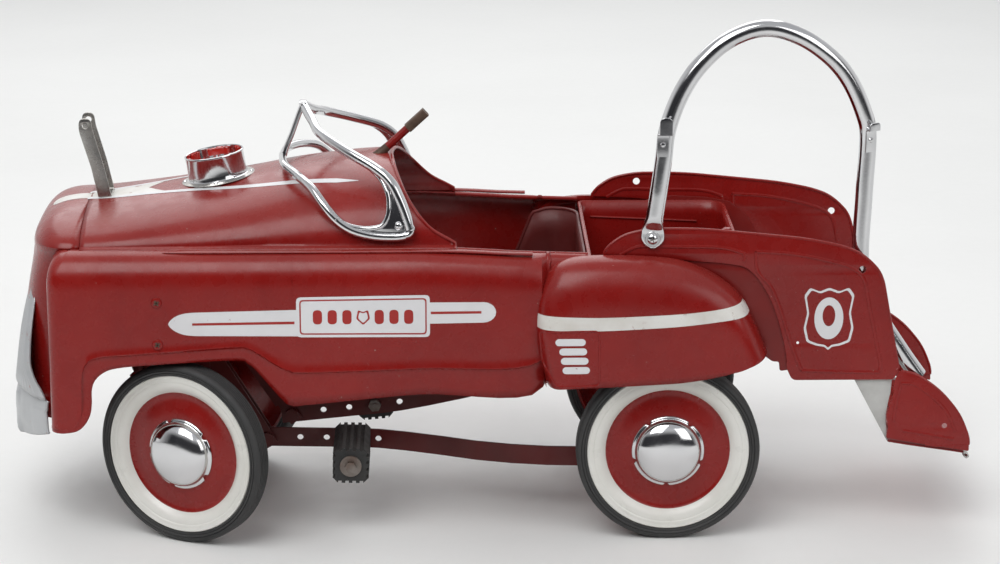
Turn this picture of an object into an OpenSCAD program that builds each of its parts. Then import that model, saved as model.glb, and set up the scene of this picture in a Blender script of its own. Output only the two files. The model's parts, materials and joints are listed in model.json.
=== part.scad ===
// Steel pedal car: a riding toy fire truck with steered front wheels, pedal straps on a
// cranked rear axle, and a rear deck with a grab rail and a step.
// +X points to the nose, +Y to the car's left, +Z up. Z = 0 is the floor.

/* [Wheels] */
// Outside radius of the tyres
wheel_r = 101.6; // [95:0.1:105]
// Width of the tyres
tyre_w = 27; // [22:1:30]
// Outside radius of the steel wheel, where the tyre sits
rim_r = 89.7; // [86:0.1:91]
// Radius of the axles
axle_r = 6; // [5:0.5:7]
// Distance of the rear wheels' middle planes from the centreline
rear_track = 147.1; // [146:0.1:149]

/* [Steering] */
// Angle that the front wheels are turned to, seen from above
steer = -27; // [-30:1:30]
// Distance of the kingpins from the centreline
king_y = 120; // [118:1:122]
// Length of the steering arms and throw of the column's crank
arm_r = 30; // [28:1:32]
// Slope of the steering column
column_slope = 42.5; // [41:0.5:44]

/* [Pedals] */
// Throw of the rear axle's cranks
crank_r = 30; // [26:1:32]
// Distance from the crank pin to the front pivot of a pedal strap
strap_len = 437; // [430:1:440]
// Height of a pedal strap
strap_h = 22; // [20:1:24]

/* [Body] */
// Thickness of the sheet steel
sheet_t = 1.5; // [1.2:0.1:2]
// Distance of the body sides from the centreline
side_y = 165; // [164:0.5:167]
// Distance of the hood's base crease and the cockpit rims from the centreline
crease_y = 130; // [129:0.5:131]
// Height of the hood's base crease
crease_z = 329; // [327:0.5:331]
// Distance of the rear side panels from the centreline
panel_y = 134; // [133.5:0.1:135]

/* [Fittings] */
// Diameter of the grab rail's tube
rail_d = 19; // [17:0.5:20]
// Radius of the holes that the grab rail bolts through
rail_hole_r = 4; // [3.5:0.1:4.5]

/* [Hidden] */
CORNERS = ["front_left", "front_right", "rear_left", "rear_right"];

red = [0.55, 0.06, 0.05];
dark_red = [0.33, 0.07, 0.06];
silver = [0.66, 0.67, 0.68];
chrome = [0.8, 0.8, 0.82];
white = [0.93, 0.93, 0.9];
black = [0.07, 0.07, 0.07];
bare = [0.75, 0.75, 0.74];

fit = 0.05;              // radial clearance of every running fit
rear_x = -200;           // rear axle
king_x = 320;            // kingpins
wheel_out = 30;          // front wheel's middle plane, out from its kingpin
seam_x = 445;            // joint between the hood and the nose panel
shoulder_y = 160;        // highest line of the front fenders
shoulder_z = 320;
round_fn = 48;

// ---------- shared functions and modules ----------

function unit(v) = v / norm(v);
function lerp(a, b, t) = a + (b - a) * t;
function side_sign(left) = left ? 1 : -1;
function clamped(list, i) = list[max(0, min(len(list) - 1, i))];
function grid_at(g, i, j) = clamped(clamped(g, i), j);
function grid_normal(g, i, j) = unit(cross(
    grid_at(g, i + 1, j) - grid_at(g, i - 1, j), grid_at(g, i, j + 1) - grid_at(g, i, j - 1)));
function flat(lists) = [for (l = lists) each l];

// Sheet of thickness t under a grid of points. Rows cross columns gives the outward side.
module sheet(g, t) {
    n = len(g);
    m = len(g[0]);
    inner = [for (i = [0:n - 1]) [for (j = [0:m - 1]) g[i][j] - t * grid_normal(g, i, j)]];
    function o(i, j) = i * m + j;
    function q(i, j) = n * m + i * m + j;
    function quad(a, b, c, d) = [[a, b, c], [a, c, d]];
    e = m - 1;
    f = n - 1;
    tops = [for (i = [0:f - 1], j = [0:e - 1])
        each quad(o(i, j), o(i, j + 1), o(i + 1, j + 1), o(i + 1, j))];
    unders = [for (i = [0:f - 1], j = [0:e - 1])
        each quad(q(i, j), q(i + 1, j), q(i + 1, j + 1), q(i, j + 1))];
    starts = [for (i = [0:f - 1]) each quad(o(i, 0), o(i + 1, 0), q(i + 1, 0), q(i, 0))];
    ends = [for (i = [0:f - 1]) each quad(o(i + 1, e), o(i, e), q(i, e), q(i + 1, e))];
    heads = [for (j = [0:e - 1]) each quad(o(0, j + 1), o(0, j), q(0, j), q(0, j + 1))];
    tails = [for (j = [0:e - 1]) each quad(o(f, j), o(f, j + 1), q(f, j + 1), q(f, j))];
    polyhedron(concat(flat(g), flat(inner)), concat(tops, unders, starts, ends, heads, tails));
}

// Points on a smooth curve through the given points.
function spline(p, steps) = [
    for (i = [0:len(p) - 2], s = [0:steps - 1])
        let (a = clamped(p, i - 1), b = p[i], c = p[i + 1], d = clamped(p, i + 2), t = s / steps)
        0.5 * (2 * b + (c - a) * t + (2 * a - 5 * b + 4 * c - d) * t * t
            + (3 * b - a - 3 * c + d) * t * t * t),
    p[len(p) - 1]
];

// Round rod of radius r along points; up is any direction that the path never takes.
module rod_path(p, r, up, sides = 10) {
    n = len(p);
    function dir(i) = unit(clamped(p, i + 1) - clamped(p, i - 1));
    rings = [for (i = [0:n - 1]) let (d = dir(i), u = unit(cross(up, d)), w = cross(d, u))
        for (k = [0:sides - 1]) let (a = 360 * k / sides)
            p[i] + r * (cos(a) * u + sin(a) * w)];
    walls = [for (i = [0:n - 2], k = [0:sides - 1]) let (b = (k + 1) % sides)
        each [[i * sides + k, (i + 1) * sides + k, (i + 1) * sides + b],
            [i * sides + k, (i + 1) * sides + b, i * sides + b]]];
    first = [[for (k = [0:sides - 1]) k]];
    last = [[for (k = [sides - 1:-1:0]) (n - 1) * sides + k]];
    polyhedron(concat(rings), concat(walls, first, last));
}

// Straight exact rod between two points.
module rod(a, b, r) {
    d = b - a;
    h = norm(d);
    translate(a)
        rotate([0, acos(d.z / h), atan2(d.y, d.x)])
            cylinder(h = h, r = r, $fn = round_fn);
}

// Exact bent rod, with a ball at each bend.
module bent_rod(p, r) {
    for (i = [0:len(p) - 2])
        rod(p[i], p[i + 1], r);
    for (i = [1:1:len(p) - 2])
        translate(p[i]) sphere(r = r + 0.2, $fn = round_fn);
}

// Extrudes an X-Z outline from y0 to y1.
module plate(outline, y0, y1) {
    translate([0, y1, 0])
        rotate([90, 0, 0])
            linear_extrude(height = y1 - y0) polygon(outline);
}

// Round bar along Y.
module y_bar(x, y0, y1, z, r, fn = round_fn) {
    translate([x, y0, z])
        rotate([-90, 0, 0])
            cylinder(h = y1 - y0, r = r, $fn = fn);
}

// Puts a part that is drawn for the left side on the left or the right.
module on_side(left) {
    if (left)
        children();
    else
        mirror([0, 1, 0]) children();
}

// ---------- hood, cowl and nose ----------

crown = [[122, 406], [174, 401], [219, 394], [264, 384], [343, 371.5], [399, 363], [433, 358.5],
    [445, 357.3]];
cowl_edge = [[0, 134], [8, 127], [25, 99], [36, 94], [50, 87], [61, 78], [72, 67], [81, 53],
    [90, 18]];
function section_power(x) = lookup(x, [[80, 2.2], [seam_x, 1.9]]);
function hood_z(x, y) = let (n = section_power(x), s = min(1, abs(y) / crease_y))
    crease_z + (lookup(x, crown) - crease_z) * pow(1 - pow(s, n), 1 / n);

function hood_point(x, a) = let (n = section_power(x), h = lookup(x, crown) - crease_z)
    [x, crease_y * sign(a) * pow(abs(sin(a)), 2 / n), crease_z + h * pow(cos(a), 2 / n)];

hood_rows = 14;
hood_cols = 12;
hood_grid = [for (i = [0:hood_rows])
    [for (j = [-hood_cols:hood_cols]) let (a = 90 * j / hood_cols * 0.9999)
        hood_point(lerp(lookup(abs(a), cowl_edge), seam_x, i / hood_rows), a)]];

module hood_cowl() {
    color(red)
        sheet(hood_grid, sheet_t);
}

// Front of the nose on the centreline, and the flatter face beside it.
nose_profile = [[129, 519], [235, 517], [271, 512], [306, 505]];
cheek_x = 480;
prow_half = 125;
function prow(y) = (1 + cos(180 * min(1, abs(y) / prow_half))) / 2;
function front_x(y, z) = lerp(cheek_x, lookup(z, nose_profile), prow(y));
corner_r = 15;
corner_x = cheek_x - corner_r;
flat_share = 0.86;
corner_share = 0.96;

// Plan outline of the nose at height z, for t from -1 on the right to 1 on the left.
function nose_outline(t, z) = let (s = abs(t), k = sign(t), flat_y = side_y - corner_r)
    s <= flat_share ? [front_x(flat_y * s / flat_share, z), k * flat_y * s / flat_share]
    : s <= corner_share
        ? let (a = 90 * (s - flat_share) / (corner_share - flat_share))
            [corner_x + corner_r * cos(a), k * (flat_y + corner_r * sin(a))]
        : [lerp(corner_x, seam_x, (s - corner_share) / (1 - corner_share)), k * side_y];

function top_z(y) = abs(y) <= crease_y ? hood_z(seam_x, y)
    : lerp(crease_z, shoulder_z, (abs(y) - crease_y) / (shoulder_y - crease_y));

nose_bottom = 129;
wall_rows = 4;
round_rows = 5;
nose_cols = 22;

// One column of the nose, from its bottom edge up and back to the seam.
function nose_column(t) = let (
    y_top = nose_outline(t, nose_bottom)[1] * shoulder_y / side_y, z_top = top_z(y_top),
    rz = lerp(50, 14, pow(abs(t), 2)), z1 = z_top - rz, p1 = nose_outline(t, z1))
    concat(
        [for (i = [0:wall_rows - 1]) let (z = lerp(nose_bottom, z1, i / wall_rows),
            p = nose_outline(t, z)) [p[0], p[1], z]],
        [for (i = [0:round_rows]) let (a = 90 * i / round_rows, u = pow(cos(a), 0.83),
            w = pow(sin(a), 0.83))
            [lerp(seam_x, p1[0], u), lerp(y_top, p1[1], u), z1 + rz * w]]);

module nose_panel() {
    columns = [for (j = [0:nose_cols]) nose_column(2 * j / nose_cols - 1)];
    color(red)
        sheet(columns, sheet_t);
}

// Silver front: the bars of the grille above the bumper.
bumper_profile = [[86, 537.6], [140, 537], [150, 536], [176, 532], [223, 524], [228, 522]];
bumper_bow = [[86, 52], [150, 48], [186, 21], [228, 18]];
function front_skin(y, z) = [lookup(z, bumper_profile)
    - lookup(z, bumper_bow) * pow(abs(y) / 120, 2), y, z];

module front_skin_sheet(half, z0, z1, rows, t, rise = 0) {
    columns = 10;
    color(silver)
        sheet([for (j = [-columns:columns])
            [for (i = [0:rows]) let (y = half * j / columns)
                front_skin(y, lerp(z0 + rise * pow(y / half, 2), z1, i / rows))]], t);
}

module grille() {
    front_skin_sheet(112, 152, 228, 5, 3);
}

module front_bumper() {
    front_skin_sheet(120, 90, 151, 4, 4, 24);
}

// ---------- body sides ----------

side_gap = 0.5;          // between a body side and the nose panel or the rear fender
side_front = seam_x - side_gap;
side_outline = [[side_front, 139], [432, 162], [432, 177], [426, 190], [410, 201.5], [367, 206],
    [274, 211], [256, 203], [215, 159], [204, 159], [73, 171], [-65, 176], [-65, 179],
    [-51, 259], [-53, 282.5], [-62, 299.5], [-64, 302], [-64, 335], [side_front, 335]];

// Cross-section of a body side: wall, rounded shoulder and shelf in to the crease.
function side_section(inset) = [[side_y - inset, 120], [side_y - inset, 304],
    [side_y - 3 - inset * 0.9, 313 - inset * 0.4], [side_y - 10, shoulder_z - inset],
    [crease_y, crease_z - inset]];

module body_side(left) {
    outer = side_section(0);
    inner = side_section(sheet_t);
    ring = concat(outer, [for (i = [len(inner) - 1:-1:0]) inner[i]]);
    color(red)
        on_side(left)
            intersection() {
                translate([seam_x, 0, 0])
                    rotate([90, 0, -90])
                        linear_extrude(height = seam_x + 70)
                            polygon([for (p = ring) [-p[0], p[1]]]);
                plate(side_outline, crease_y - 10, side_y + 10);
            }
}

fender_outline = [[-52, 259], [-54, 282], [-63, 298], [-79, 315], [-122, 321], [-208, 317],
    [-252, 297], [-280, 275], [-291, 252], [-308, 213], [-276, 199], [-210, 186], [-123, 181],
    [-66, 179]];
fender_y = 178;
fender_in = 138;

module rear_fender(left) {
    color(red)
        on_side(left)
            difference() {
                plate(fender_outline, fender_in, fender_y);
                translate([0, fender_y - sheet_t, 0])
                    rotate([90, 0, 0])
                        linear_extrude(height = 60)
                            union() {
                                offset(delta = -sheet_t) polygon(fender_outline);
                                polygon([[-300, 170], [-300, 214], [-265, 215], [-200, 210],
                                    [-123, 205], [-68, 200], [-68, 170]]);
                            }
            }
}

panel_outline = [[-127, 321], [-135, 332], [-151, 343], [-178, 349], [-233, 349], [-292, 343],
    [-350, 337], [-388, 329], [-407, 322], [-420, 312], [-431, 300], [-436, 287], [-442, 256],
    [-449, 221], [-456, 186], [-450, 176], [-338, 176], [-331, 190], [-331, 204], [-323, 239],
    [-312, 270], [-297, 294], [-284, 306], [-261, 310], [-223, 313], [-179, 319]];
rail_front = [-181, 339];
rail_rear = [-412, 302];
lash_hole = [-343, 219];

module side_panel(left) {
    color(red)
        on_side(left)
            difference() {
                plate(panel_outline, panel_y, panel_y + sheet_t);
                for (h = [rail_front, rail_rear])
                    y_bar(h[0], panel_y - 5, panel_y + 5, h[1], rail_hole_r);
                y_bar(lash_hole[0], panel_y - 5, panel_y + 5, lash_hole[1], 2.5);
            }
}

// ---------- seat, tub and step ----------

seat_half = 122;
module seat() {
    wing = [[-108, 190], [20, 190], [14, 204], [-20, 216], [-38, 250], [-46, 290], [-56, 306],
        [-74, 312], [-108, 312]];
    color(dark_red) {
        translate([-111, -seat_half, 186])
            cube([141, 2 * seat_half, 3]);
        translate([-111, -seat_half, 189])
            cube([3, 2 * seat_half, 123]);
        for (left = [true, false])
            on_side(left) plate([for (p = wing) [p[0], p[1] - 1]], seat_half - 3, seat_half);
    }
}

tub_front = -113;
tub_rear = -282;
tub_floor = 198;
tub_rim = 317;
tub_half = 131.5;

module rear_tub() {
    length = tub_front - tub_rear;
    color(red)
        difference() {
            translate([tub_rear, -tub_half, tub_floor])
                cube([length, 2 * tub_half, tub_rim - tub_floor]);
            translate([tub_rear + sheet_t, -tub_half + sheet_t, tub_floor + sheet_t])
                cube([length - 2 * sheet_t, 2 * (tub_half - sheet_t), 200]);
        }
}

module deck_knob() {
    color(red)
        translate([tub_rear + 6, 0, tub_rim - 14])
            rotate_extrude($fn = round_fn)
                polygon([[0, -20], [4.2, -20], [4.2, -3], [8, 0], [9.5, 5], [8, 10], [4, 13],
                    [0, 13.5]]);
}

step_half = 133;
riser = [[-402, 188], [-400.5, 188], [-445.5, 104], [-447, 104]];
tread = [[-448, 103], [-448, 101.4], [-534, 88.2], [-537, 85], [-538, 86], [-535, 90.2]];

module step_riser() {
    color(bare)
        plate(riser, -step_half, step_half);
}

module step_tread() {
    color(red)
        plate(tread, -step_half, step_half);
}

step_outline = [[-456, 186], [-474, 183], [-502, 164], [-526, 135], [-537, 107], [-537.6, 92],
    [-494, 99], [-444, 109], [-444, 140], [-453, 170]];
step_hole = [-509, 122];

module step_side(left) {
    color(red)
        on_side(left)
            difference() {
                plate(step_outline, panel_y, panel_y + sheet_t);
                y_bar(step_hole[0], panel_y - 5, panel_y + 5, step_hole[1], 3);
            }
}

// ---------- chrome fittings ----------

foot = [94, 128, 350];

module windshield_frame() {
    upper = spline([[203, 0, 461], [192, 30, 449], [182, 60, 441], [156, 90, 427],
        [122, 114, 405], [102, 126, 384], [90, 131, 364], [83, 133, 350]], 3);
    lower = spline([[227, 0, 402], [223, 44, 402], [209, 78, 399], [192, 105, 391],
        [178, 122, 376], [164, 129.5, 361], [147, 133, 349.5], [124, 134, 343],
        [88, 134, 343]], 3);
    color(chrome) {
        for (left = [true, false])
            on_side(left) {
                rod_path(upper, 4.2, [0, 0, 1], 8);
                rod_path(lower, 4.2, [0, 0, 1], 8);
                plate([[82, 344], [90, 338], [112, 342], [118, 356], [108, 372], [96, 366]],
                    132, 134.5);
            }
        rod_path([[203, 0, 461], [216, 0, 430], [227, 0, 402]], 4.2, [0, 1, 0], 8);
    }
}

module windshield_screws() {
    color(chrome)
        for (left = [true, false])
            on_side(left) y_bar(foot[0], 134.5, 137.5, foot[2], 5, 6);
}

bell_z = 359.6;
bell_hole = [445.5, 441.5];
module bell_bracket() {
    color(chrome)
        difference() {
            union() {
                translate([418.5, -18, bell_z])
                    cube([15, 36, 2.5]);
                for (left = [true, false])
                    on_side(left)
                        plate([[418.5, bell_z], [433.5, bell_z], [440.6, 394], [453.2, 436],
                            [452.8, 443], [449.5, 448], [444.5, 449.5], [440, 448], [437.4, 443.5],
                            [426.4, 395.5]], 15.5, 18);
            }
            y_bar(bell_hole[0], -30, 30, bell_hole[1], 3.5);
        }
}

beacon_x = 299.5;
beacon_tilt = 9.3;
beacon_z = 377.6;

module at_beacon() {
    translate([beacon_x, 0, beacon_z])
        rotate([0, beacon_tilt, 0]) children();
}

module beacon_base() {
    color(chrome)
        at_beacon()
            rotate_extrude($fn = 64)
                polygon([[0, 2], [0, 0], [41.5, 0], [41.5, 1.6], [34, 2.4], [33, 4], [33, 30],
                    [31.5, 30], [31.5, 3.5], [3, 3.5]]);
}

module beacon_lens_shards() {
    color([0.7, 0.05, 0.03])
        at_beacon()
            for (a = [10, 95, 160, 250])
                rotate([0, 0, a])
                    translate([0, 0, 22])
                        rotate_extrude(angle = 52, $fn = 64)
                            polygon([[28, 0], [31.3, 0], [31.3, 8], [29.6, 10 + a / 60]]);
}

rail_y = panel_y + sheet_t + 2.5;
rail_points = [[-181, rail_y + 1, 352], [-185.5, rail_y + 3, 382], [-191.4, rail_y + 3, 427],
    [-195.2, rail_y + 2, 460], [-208.6, rail_y, 498], [-230, rail_y - 2, 531],
    [-261, rail_y - 4, 558], [-299, rail_y - 6, 570], [-336, rail_y - 7, 561],
    [-369, rail_y - 9, 539], [-392, rail_y - 12, 512], [-409, rail_y - 14, 476],
    [-415, rail_y - 16, 448], [-413, rail_y - 17, 381], [-412, rail_y - 17, 302],
    [-430, rail_y - 17, 252], [-456, rail_y - 17, 210], [-480, rail_y - 17, 176]];

module grab_rail() {
    color(chrome) {
        rod_path(spline(rail_points, 3), rail_d / 2, [0, 1, 0], 12);
        difference() {
            hull() {
                y_bar(rail_front[0], rail_y - 1.8, rail_y + 1.8, rail_front[1] + 1, 12, 32);
                y_bar(rail_front[0] - 1, rail_y - 1.8, rail_y + 1.8, rail_front[1] + 24, 8, 32);
            }
            y_bar(rail_front[0], 100, 200, rail_front[1], rail_hole_r);
        }
    }
}

module rail_bolts() {
    color(chrome) {
        y_bar(rail_front[0], panel_y - 6, rail_y + 1.8, rail_front[1], rail_hole_r - 0.3);
        y_bar(rail_front[0], rail_y + 1.8, rail_y + 4.5, rail_front[1], 6.5);
        y_bar(rail_front[0], panel_y - 6, panel_y - 0.05, rail_front[1], 7, 6);
    }
}

hook_front = [-202, rail_y + 1, 478];
hook_rear = [-414, rail_y - 15, 470];
module ladder_hook(p, outward) {
    translate(p)
        rotate([0, 0, outward])
            rotate([90, 0, 90])
                linear_extrude(height = 24, center = true)
                    polygon([[9.8, -24], [12, -24], [12, -4], [22, -4], [22, 12], [19.8, 12],
                        [19.8, -1.8], [9.8, -1.8]]);
}

module ladder_hooks() {
    color(chrome) {
        ladder_hook(hook_front, 0);
        ladder_hook(hook_rear, 90 + 180);
    }
}

module fender_screws() {
    color(red)
        for (left = [true, false], z = [230, 277])
            on_side(left) y_bar(358, side_y, side_y + 2.5, z, 5);
}

// ---------- front frame and steering ----------

column_dir = [cos(column_slope), 0, -sin(column_slope)];
column_exit = [116, 0, 406];
function on_column(x) = column_exit + column_dir * (x - column_exit.x) / column_dir.x;
column_r = 4.5;
tie_z = 128;
beam_x0 = 334;
beam_x1 = 342;
crank_reach = 70;
stirrup_y = 49;
slot_r = column_r + 0.9;     // slot in the tie rod's tab
slot_half = 4.5;

module along_column(x) {
    translate(on_column(x))
        rotate([0, 90 + column_slope, 0]) children();
}

module bush(x, r, h) {
    along_column(x)
        difference() {
            cylinder(h = h, r = r, center = true, $fn = round_fn);
            cylinder(h = h + 2, r = column_r + fit, center = true, $fn = round_fn);
        }
}

// Cross-member between the body sides, with the lower bearing of the steering column.
module front_crossmember() {
    wall = side_y - sheet_t - 0.3;
    low = on_column(393);
    color(dark_red) {
        difference() {
            translate([388, -wall, 216])
                cube([26, 2 * wall, 34]);
            translate([390, -wall - 1, 214])
                cube([22, 2 * wall + 2, 34]);
        }
        difference() {
            translate([low.x - 2, -14, low.z])
                cube([4, 28, 250 - low.z]);
            along_column(393)
                cylinder(h = 60, r = column_r + 1.5, center = true, $fn = round_fn);
        }
        bush(393, 10, 12);
    }
}

// Bracket that hangs under the cowl and holds the upper end of the column.
module column_bracket() {
    top = on_column(148);
    color(dark_red) {
        bush(148, 9, 14);
        difference() {
            translate([top.x + 4, -16, top.z])
                cube([2.5, 32, 24.8]);
            along_column(148)
                cylinder(h = 60, r = column_r + 1.5, center = true, $fn = round_fn);
        }
    }
}

module axle_stirrup(left) {
    color(dark_red)
        on_side(left)
            union() {
                plate([[316, 90], [beam_x0, 90], [beam_x0, 112], [332, 118], [332, 200],
                    [388, 216], [388, 250], [370, 262], [330, 262], [312, 240],
                    [310, 118]], stirrup_y, stirrup_y + 4);
                y_bar(348, 46.4, stirrup_y + 4, 249, 5);
                y_bar(348, stirrup_y + 4, stirrup_y + 9, 249, 8, 6);
            }
}

module front_axle_beam() {
    color(dark_red) {
        translate([beam_x0, -king_y - 10, 85])
            cube([beam_x1 - beam_x0, 2 * king_y + 20, 33]);
        for (left = [true, false], z = [81, 118])
            on_side(left)
                difference() {
                    union() {
                        translate([king_x, king_y, z])
                            cylinder(h = 4, r = 12, $fn = round_fn);
                        translate([king_x, king_y - 12, z])
                            cube([beam_x1 - king_x, 24, 4]);
                    }
                    translate([king_x, king_y, z - 1])
                        cylinder(h = 6, r = 4.75 + fit, $fn = round_fn);
                }
    }
}

// Kingpin, stub axle and steering arm of one front wheel.
module spindle(left) {
    k = side_sign(left);
    color(dark_red)
        translate([king_x, k * king_y, 0])
            rotate([0, 0, steer]) {
                translate([0, 0, 77])
                    cylinder(h = 50.5, r = 4.75, $fn = round_fn);
                translate([0, 0, 85.3])
                    cylinder(h = 32.4, r = 10, $fn = round_fn);
                translate([0, 0, 76])
                    cylinder(h = 4.7, r = 7.5, $fn = round_fn);
                rotate([k * -90, 0, 0])
                    translate([0, k * -wheel_r, 0])
                        cylinder(h = wheel_out + tyre_w / 2 - 3, r = axle_r, $fn = round_fn);
                translate([0, 0, 122.3]) {
                    cylinder(h = 5, r = 9, $fn = round_fn);
                    translate([0, -7, 0])
                        cube([arm_r, 14, 5]);
                    translate([arm_r, 0, 0])
                        cylinder(h = 5, r = 7, $fn = round_fn);
                }
                translate([arm_r, 0, 125])
                    cylinder(h = 11, r = 3.5, $fn = round_fn);
            }
}

function tie_shift() = [king_x + arm_r * cos(steer), arm_r * sin(steer), 0];

module tie_rod() {
    pin_z = on_column(king_x + arm_r - arm_r * sin(column_slope)).z
        + arm_r * cos(column_slope);
    color(dark_red)
        translate(tie_shift())
            difference() {
                union() {
                    translate([-9, -king_y, tie_z])
                        cube([18, 2 * king_y, 3]);
                    for (k = [-1, 1])
                        translate([0, k * king_y, tie_z])
                            cylinder(h = 3, r = 9, $fn = round_fn);
                    translate([-1.5, -9.5, tie_z + 2])
                        cube([3, 19, pin_z - tie_z + 12]);
                }
                for (k = [-1, 1])
                    translate([0, k * king_y, tie_z - 1])
                        cylinder(h = 6, r = 3.5 + fit, $fn = round_fn);
                for (dz = [-slot_half, slot_half])
                    translate([-5, 0, pin_z + dz])
                        rotate([0, 90, 0])
                            cylinder(h = 10, r = slot_r, $fn = round_fn);
                translate([-5, -slot_r, pin_z - slot_half])
                    cube([10, 2 * slot_r, 2 * slot_half]);
            }
}

// Bare column end at the driver, down to a crank whose pin works in the tie rod's slot.
module steering_column() {
    start = on_column(312);
    across = arm_r * (cos(steer) * [sin(column_slope), 0, cos(column_slope)]
        + sin(steer) * [0, 1, 0]);
    ahead = column_dir * crank_reach;
    color(red) {
        bent_rod([on_column(80), start, start + across, start + across + ahead,
            start + ahead, on_column(404)], column_r);
        translate(on_column(76))
            rotate([0, 90 + column_slope, 0])
                cube([3, 12, 22], center = true);
    }
}

// ---------- wheels ----------

// Puts a wheel's axis, which points outward along +Z, at one corner of the car.
module at_corner(c) {
    front = c < 2;
    k = c % 2 == 0 ? 1 : -1;
    if (front)
        translate([king_x, k * king_y, wheel_r])
            rotate([0, 0, steer])
                translate([0, k * wheel_out, 0])
                    rotate([k * -90, 0, 0]) children();
    else
        translate([rear_x, k * rear_track, wheel_r])
            rotate([k * -90, 0, 0]) children();
}

module tyre(c) {
    half = tyre_w / 2;
    color(black)
        at_corner(c)
            rotate_extrude($fn = 96)
                polygon([[rim_r + 0.1, -half + 1], [wheel_r - 4.5, -half],
                    [wheel_r - 1, -half + 3.5], [wheel_r, -half + 8], [wheel_r, half - 8],
                    [wheel_r - 1, half - 3.5], [wheel_r - 4.5, half], [rim_r + 0.1, half - 1]]);
}

module wheel(c) {
    color(white)
        at_corner(c)
            rotate_extrude($fn = 96)
                polygon([[axle_r + fit, -9], [13, -9], [13, 2], [44, 4], [64, 0], [69, 1],
                    [74, 6], [80, 9.5], [86, 9.5], [86, -11], [rim_r, -11], [rim_r, 10],
                    [86, 12], [80, 12], [73, 9], [68, 4], [64, 3], [45, 7], [13, 8],
                    [axle_r + fit, 8]]);
}

module hubcap(c) {
    color(chrome)
        at_corner(c)
            rotate_extrude($fn = 96)
                polygon(concat([[0, 24.5], [0, 26]],
                    [for (a = [80:-10:0]) [35.6 * cos(a), 9.5 + 16.5 * sin(a)]],
                    [[40, 9], [40, 7.5], [34, 8.5]],
                    [for (a = [10:10:80]) [34 * cos(a), 9.5 + 15 * sin(a)]]));
}

// ---------- rear axle, pedals and straps ----------

crank_y = 93;
crank_half = 9;
pin_angle = 248.5;        // direction of the left crank pin, from +X towards +Z
function crank_pin(left) = let (k = side_sign(left))
    [rear_x + -k * crank_r * cos(pin_angle), k * crank_y, wheel_r + k * crank_r * sin(pin_angle)];

// One bent rod: straight in the middle, a crank on each side, wheels at the ends.
module rear_axle() {
    end_y = rear_track + 9;
    color(bare) {
        y_bar(rear_x, -crank_y + crank_half, crank_y - crank_half, wheel_r, axle_r);
        for (left = [true, false]) {
            k = side_sign(left);
            pin = crank_pin(left);
            in_y = k * (crank_y - crank_half);
            out_y = k * (crank_y + crank_half);
            bent_rod([[rear_x, in_y - k, wheel_r], [rear_x, in_y, wheel_r],
                [pin.x, in_y, pin.z], [pin.x, out_y, pin.z], [rear_x, out_y, wheel_r],
                [rear_x, k * end_y, wheel_r]], axle_r);
        }
    }
}

module axle_hanger(left) {
    color(dark_red)
        on_side(left)
            difference() {
                union() {
                    plate([[rear_x - 14, wheel_r], [rear_x + 14, wheel_r],
                        [rear_x + 34, tub_floor], [rear_x - 34, tub_floor]], 117, 120);
                    y_bar(rear_x, 114, 123, wheel_r, 14);
                }
                y_bar(rear_x, 100, 140, wheel_r, axle_r + fit);
            }
}

front_y = 38;
hole_steps = [37, 67, 97, 126];
pedal_step = 97;
front_pivot_z = [83, 87];

// Places a strap's own frame: origin at its crank pin, +X towards its front pivot.
module at_strap(left) {
    pin = crank_pin(left);
    rise = (left ? front_pivot_z[0] : front_pivot_z[1]) - pin.z;
    translate([pin.x, 0, pin.z])
        rotate([0, -asin(rise / strap_len), 0])
            on_side(left) children();
}

function strap_line(x) = lookup(x, [[-20, crank_y], [120, crank_y], [160, 88], [200, 78],
    [240, 62], [280, 48], [310, 40], [330, front_y], [460, front_y]]);

module pedal_strap(left) {
    t = 3;
    xs = [-12, 60, 120, 160, 200, 240, 280, 310, 330, strap_len + 12];
    color(dark_red)
        at_strap(left)
            difference() {
                translate([0, 0, -strap_h / 2])
                    linear_extrude(height = strap_h)
                        polygon(concat([for (x = xs) [x, strap_line(x) - t / 2]],
                            [for (i = [len(xs) - 1:-1:0]) [xs[i], strap_line(xs[i]) + t / 2]]));
                y_bar(0, 60, 120, 0, axle_r + fit);
                for (s = hole_steps)
                    y_bar(strap_len - s, 20, 60, 0, 3.5);
                y_bar(strap_len, 20, 60, 0, 4.1);
            }
}

hanger_len = 193.8;

// Channel between the strap's front pivot and the pivot under the hood.
module pedal_hanger(left) {
    lean = (left ? 31 : 33);
    slope = asin(((left ? front_pivot_z[0] : front_pivot_z[1]) - crank_pin(left).z) / strap_len);
    color(dark_red)
        at_strap(left)
            translate([strap_len, 0, 0])
                rotate([0, slope + lean, 0]) {
                    difference() {
                        translate([-8, front_y - 8, -10])
                            cube([18, 16, hanger_len + 20]);
                        translate([-10, front_y - 6, -12])
                            cube([18, 12, hanger_len + 24]);
                        translate([7, front_y - 9, -12])
                            cube([4, 18, 30]);
                        y_bar(0, 20, 60, hanger_len, 5.5);
                    }
                    y_bar(0, front_y - 11, front_y + 11, 0, 4.05);
                    y_bar(0, front_y + 8, front_y + 12, 0, 8, 6);
                    y_bar(0, front_y - 12, front_y - 8, 0, 8, 6);
                }
}

pedal_y0 = 44;
pedal_y1 = 139;
module pedal_bolt(left) {
    color(bare)
        at_strap(left) {
            y_bar(strap_len - pedal_step, front_y - 8, pedal_y1 + 1, 0, 3.4);
            y_bar(strap_len - pedal_step, front_y - 7, front_y - 1.6, 0, 7.5, 6);
            y_bar(strap_len - pedal_step, front_y + 1.6, pedal_y0 - 0.5, 0, 8);
            y_bar(strap_len - pedal_step, pedal_y1 + 0.3, pedal_y1 + 2.3, 0, 12);
            y_bar(strap_len - pedal_step, pedal_y1 + 2.3, pedal_y1 + 7, 0, 6.5, 6);
        }
}

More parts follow.
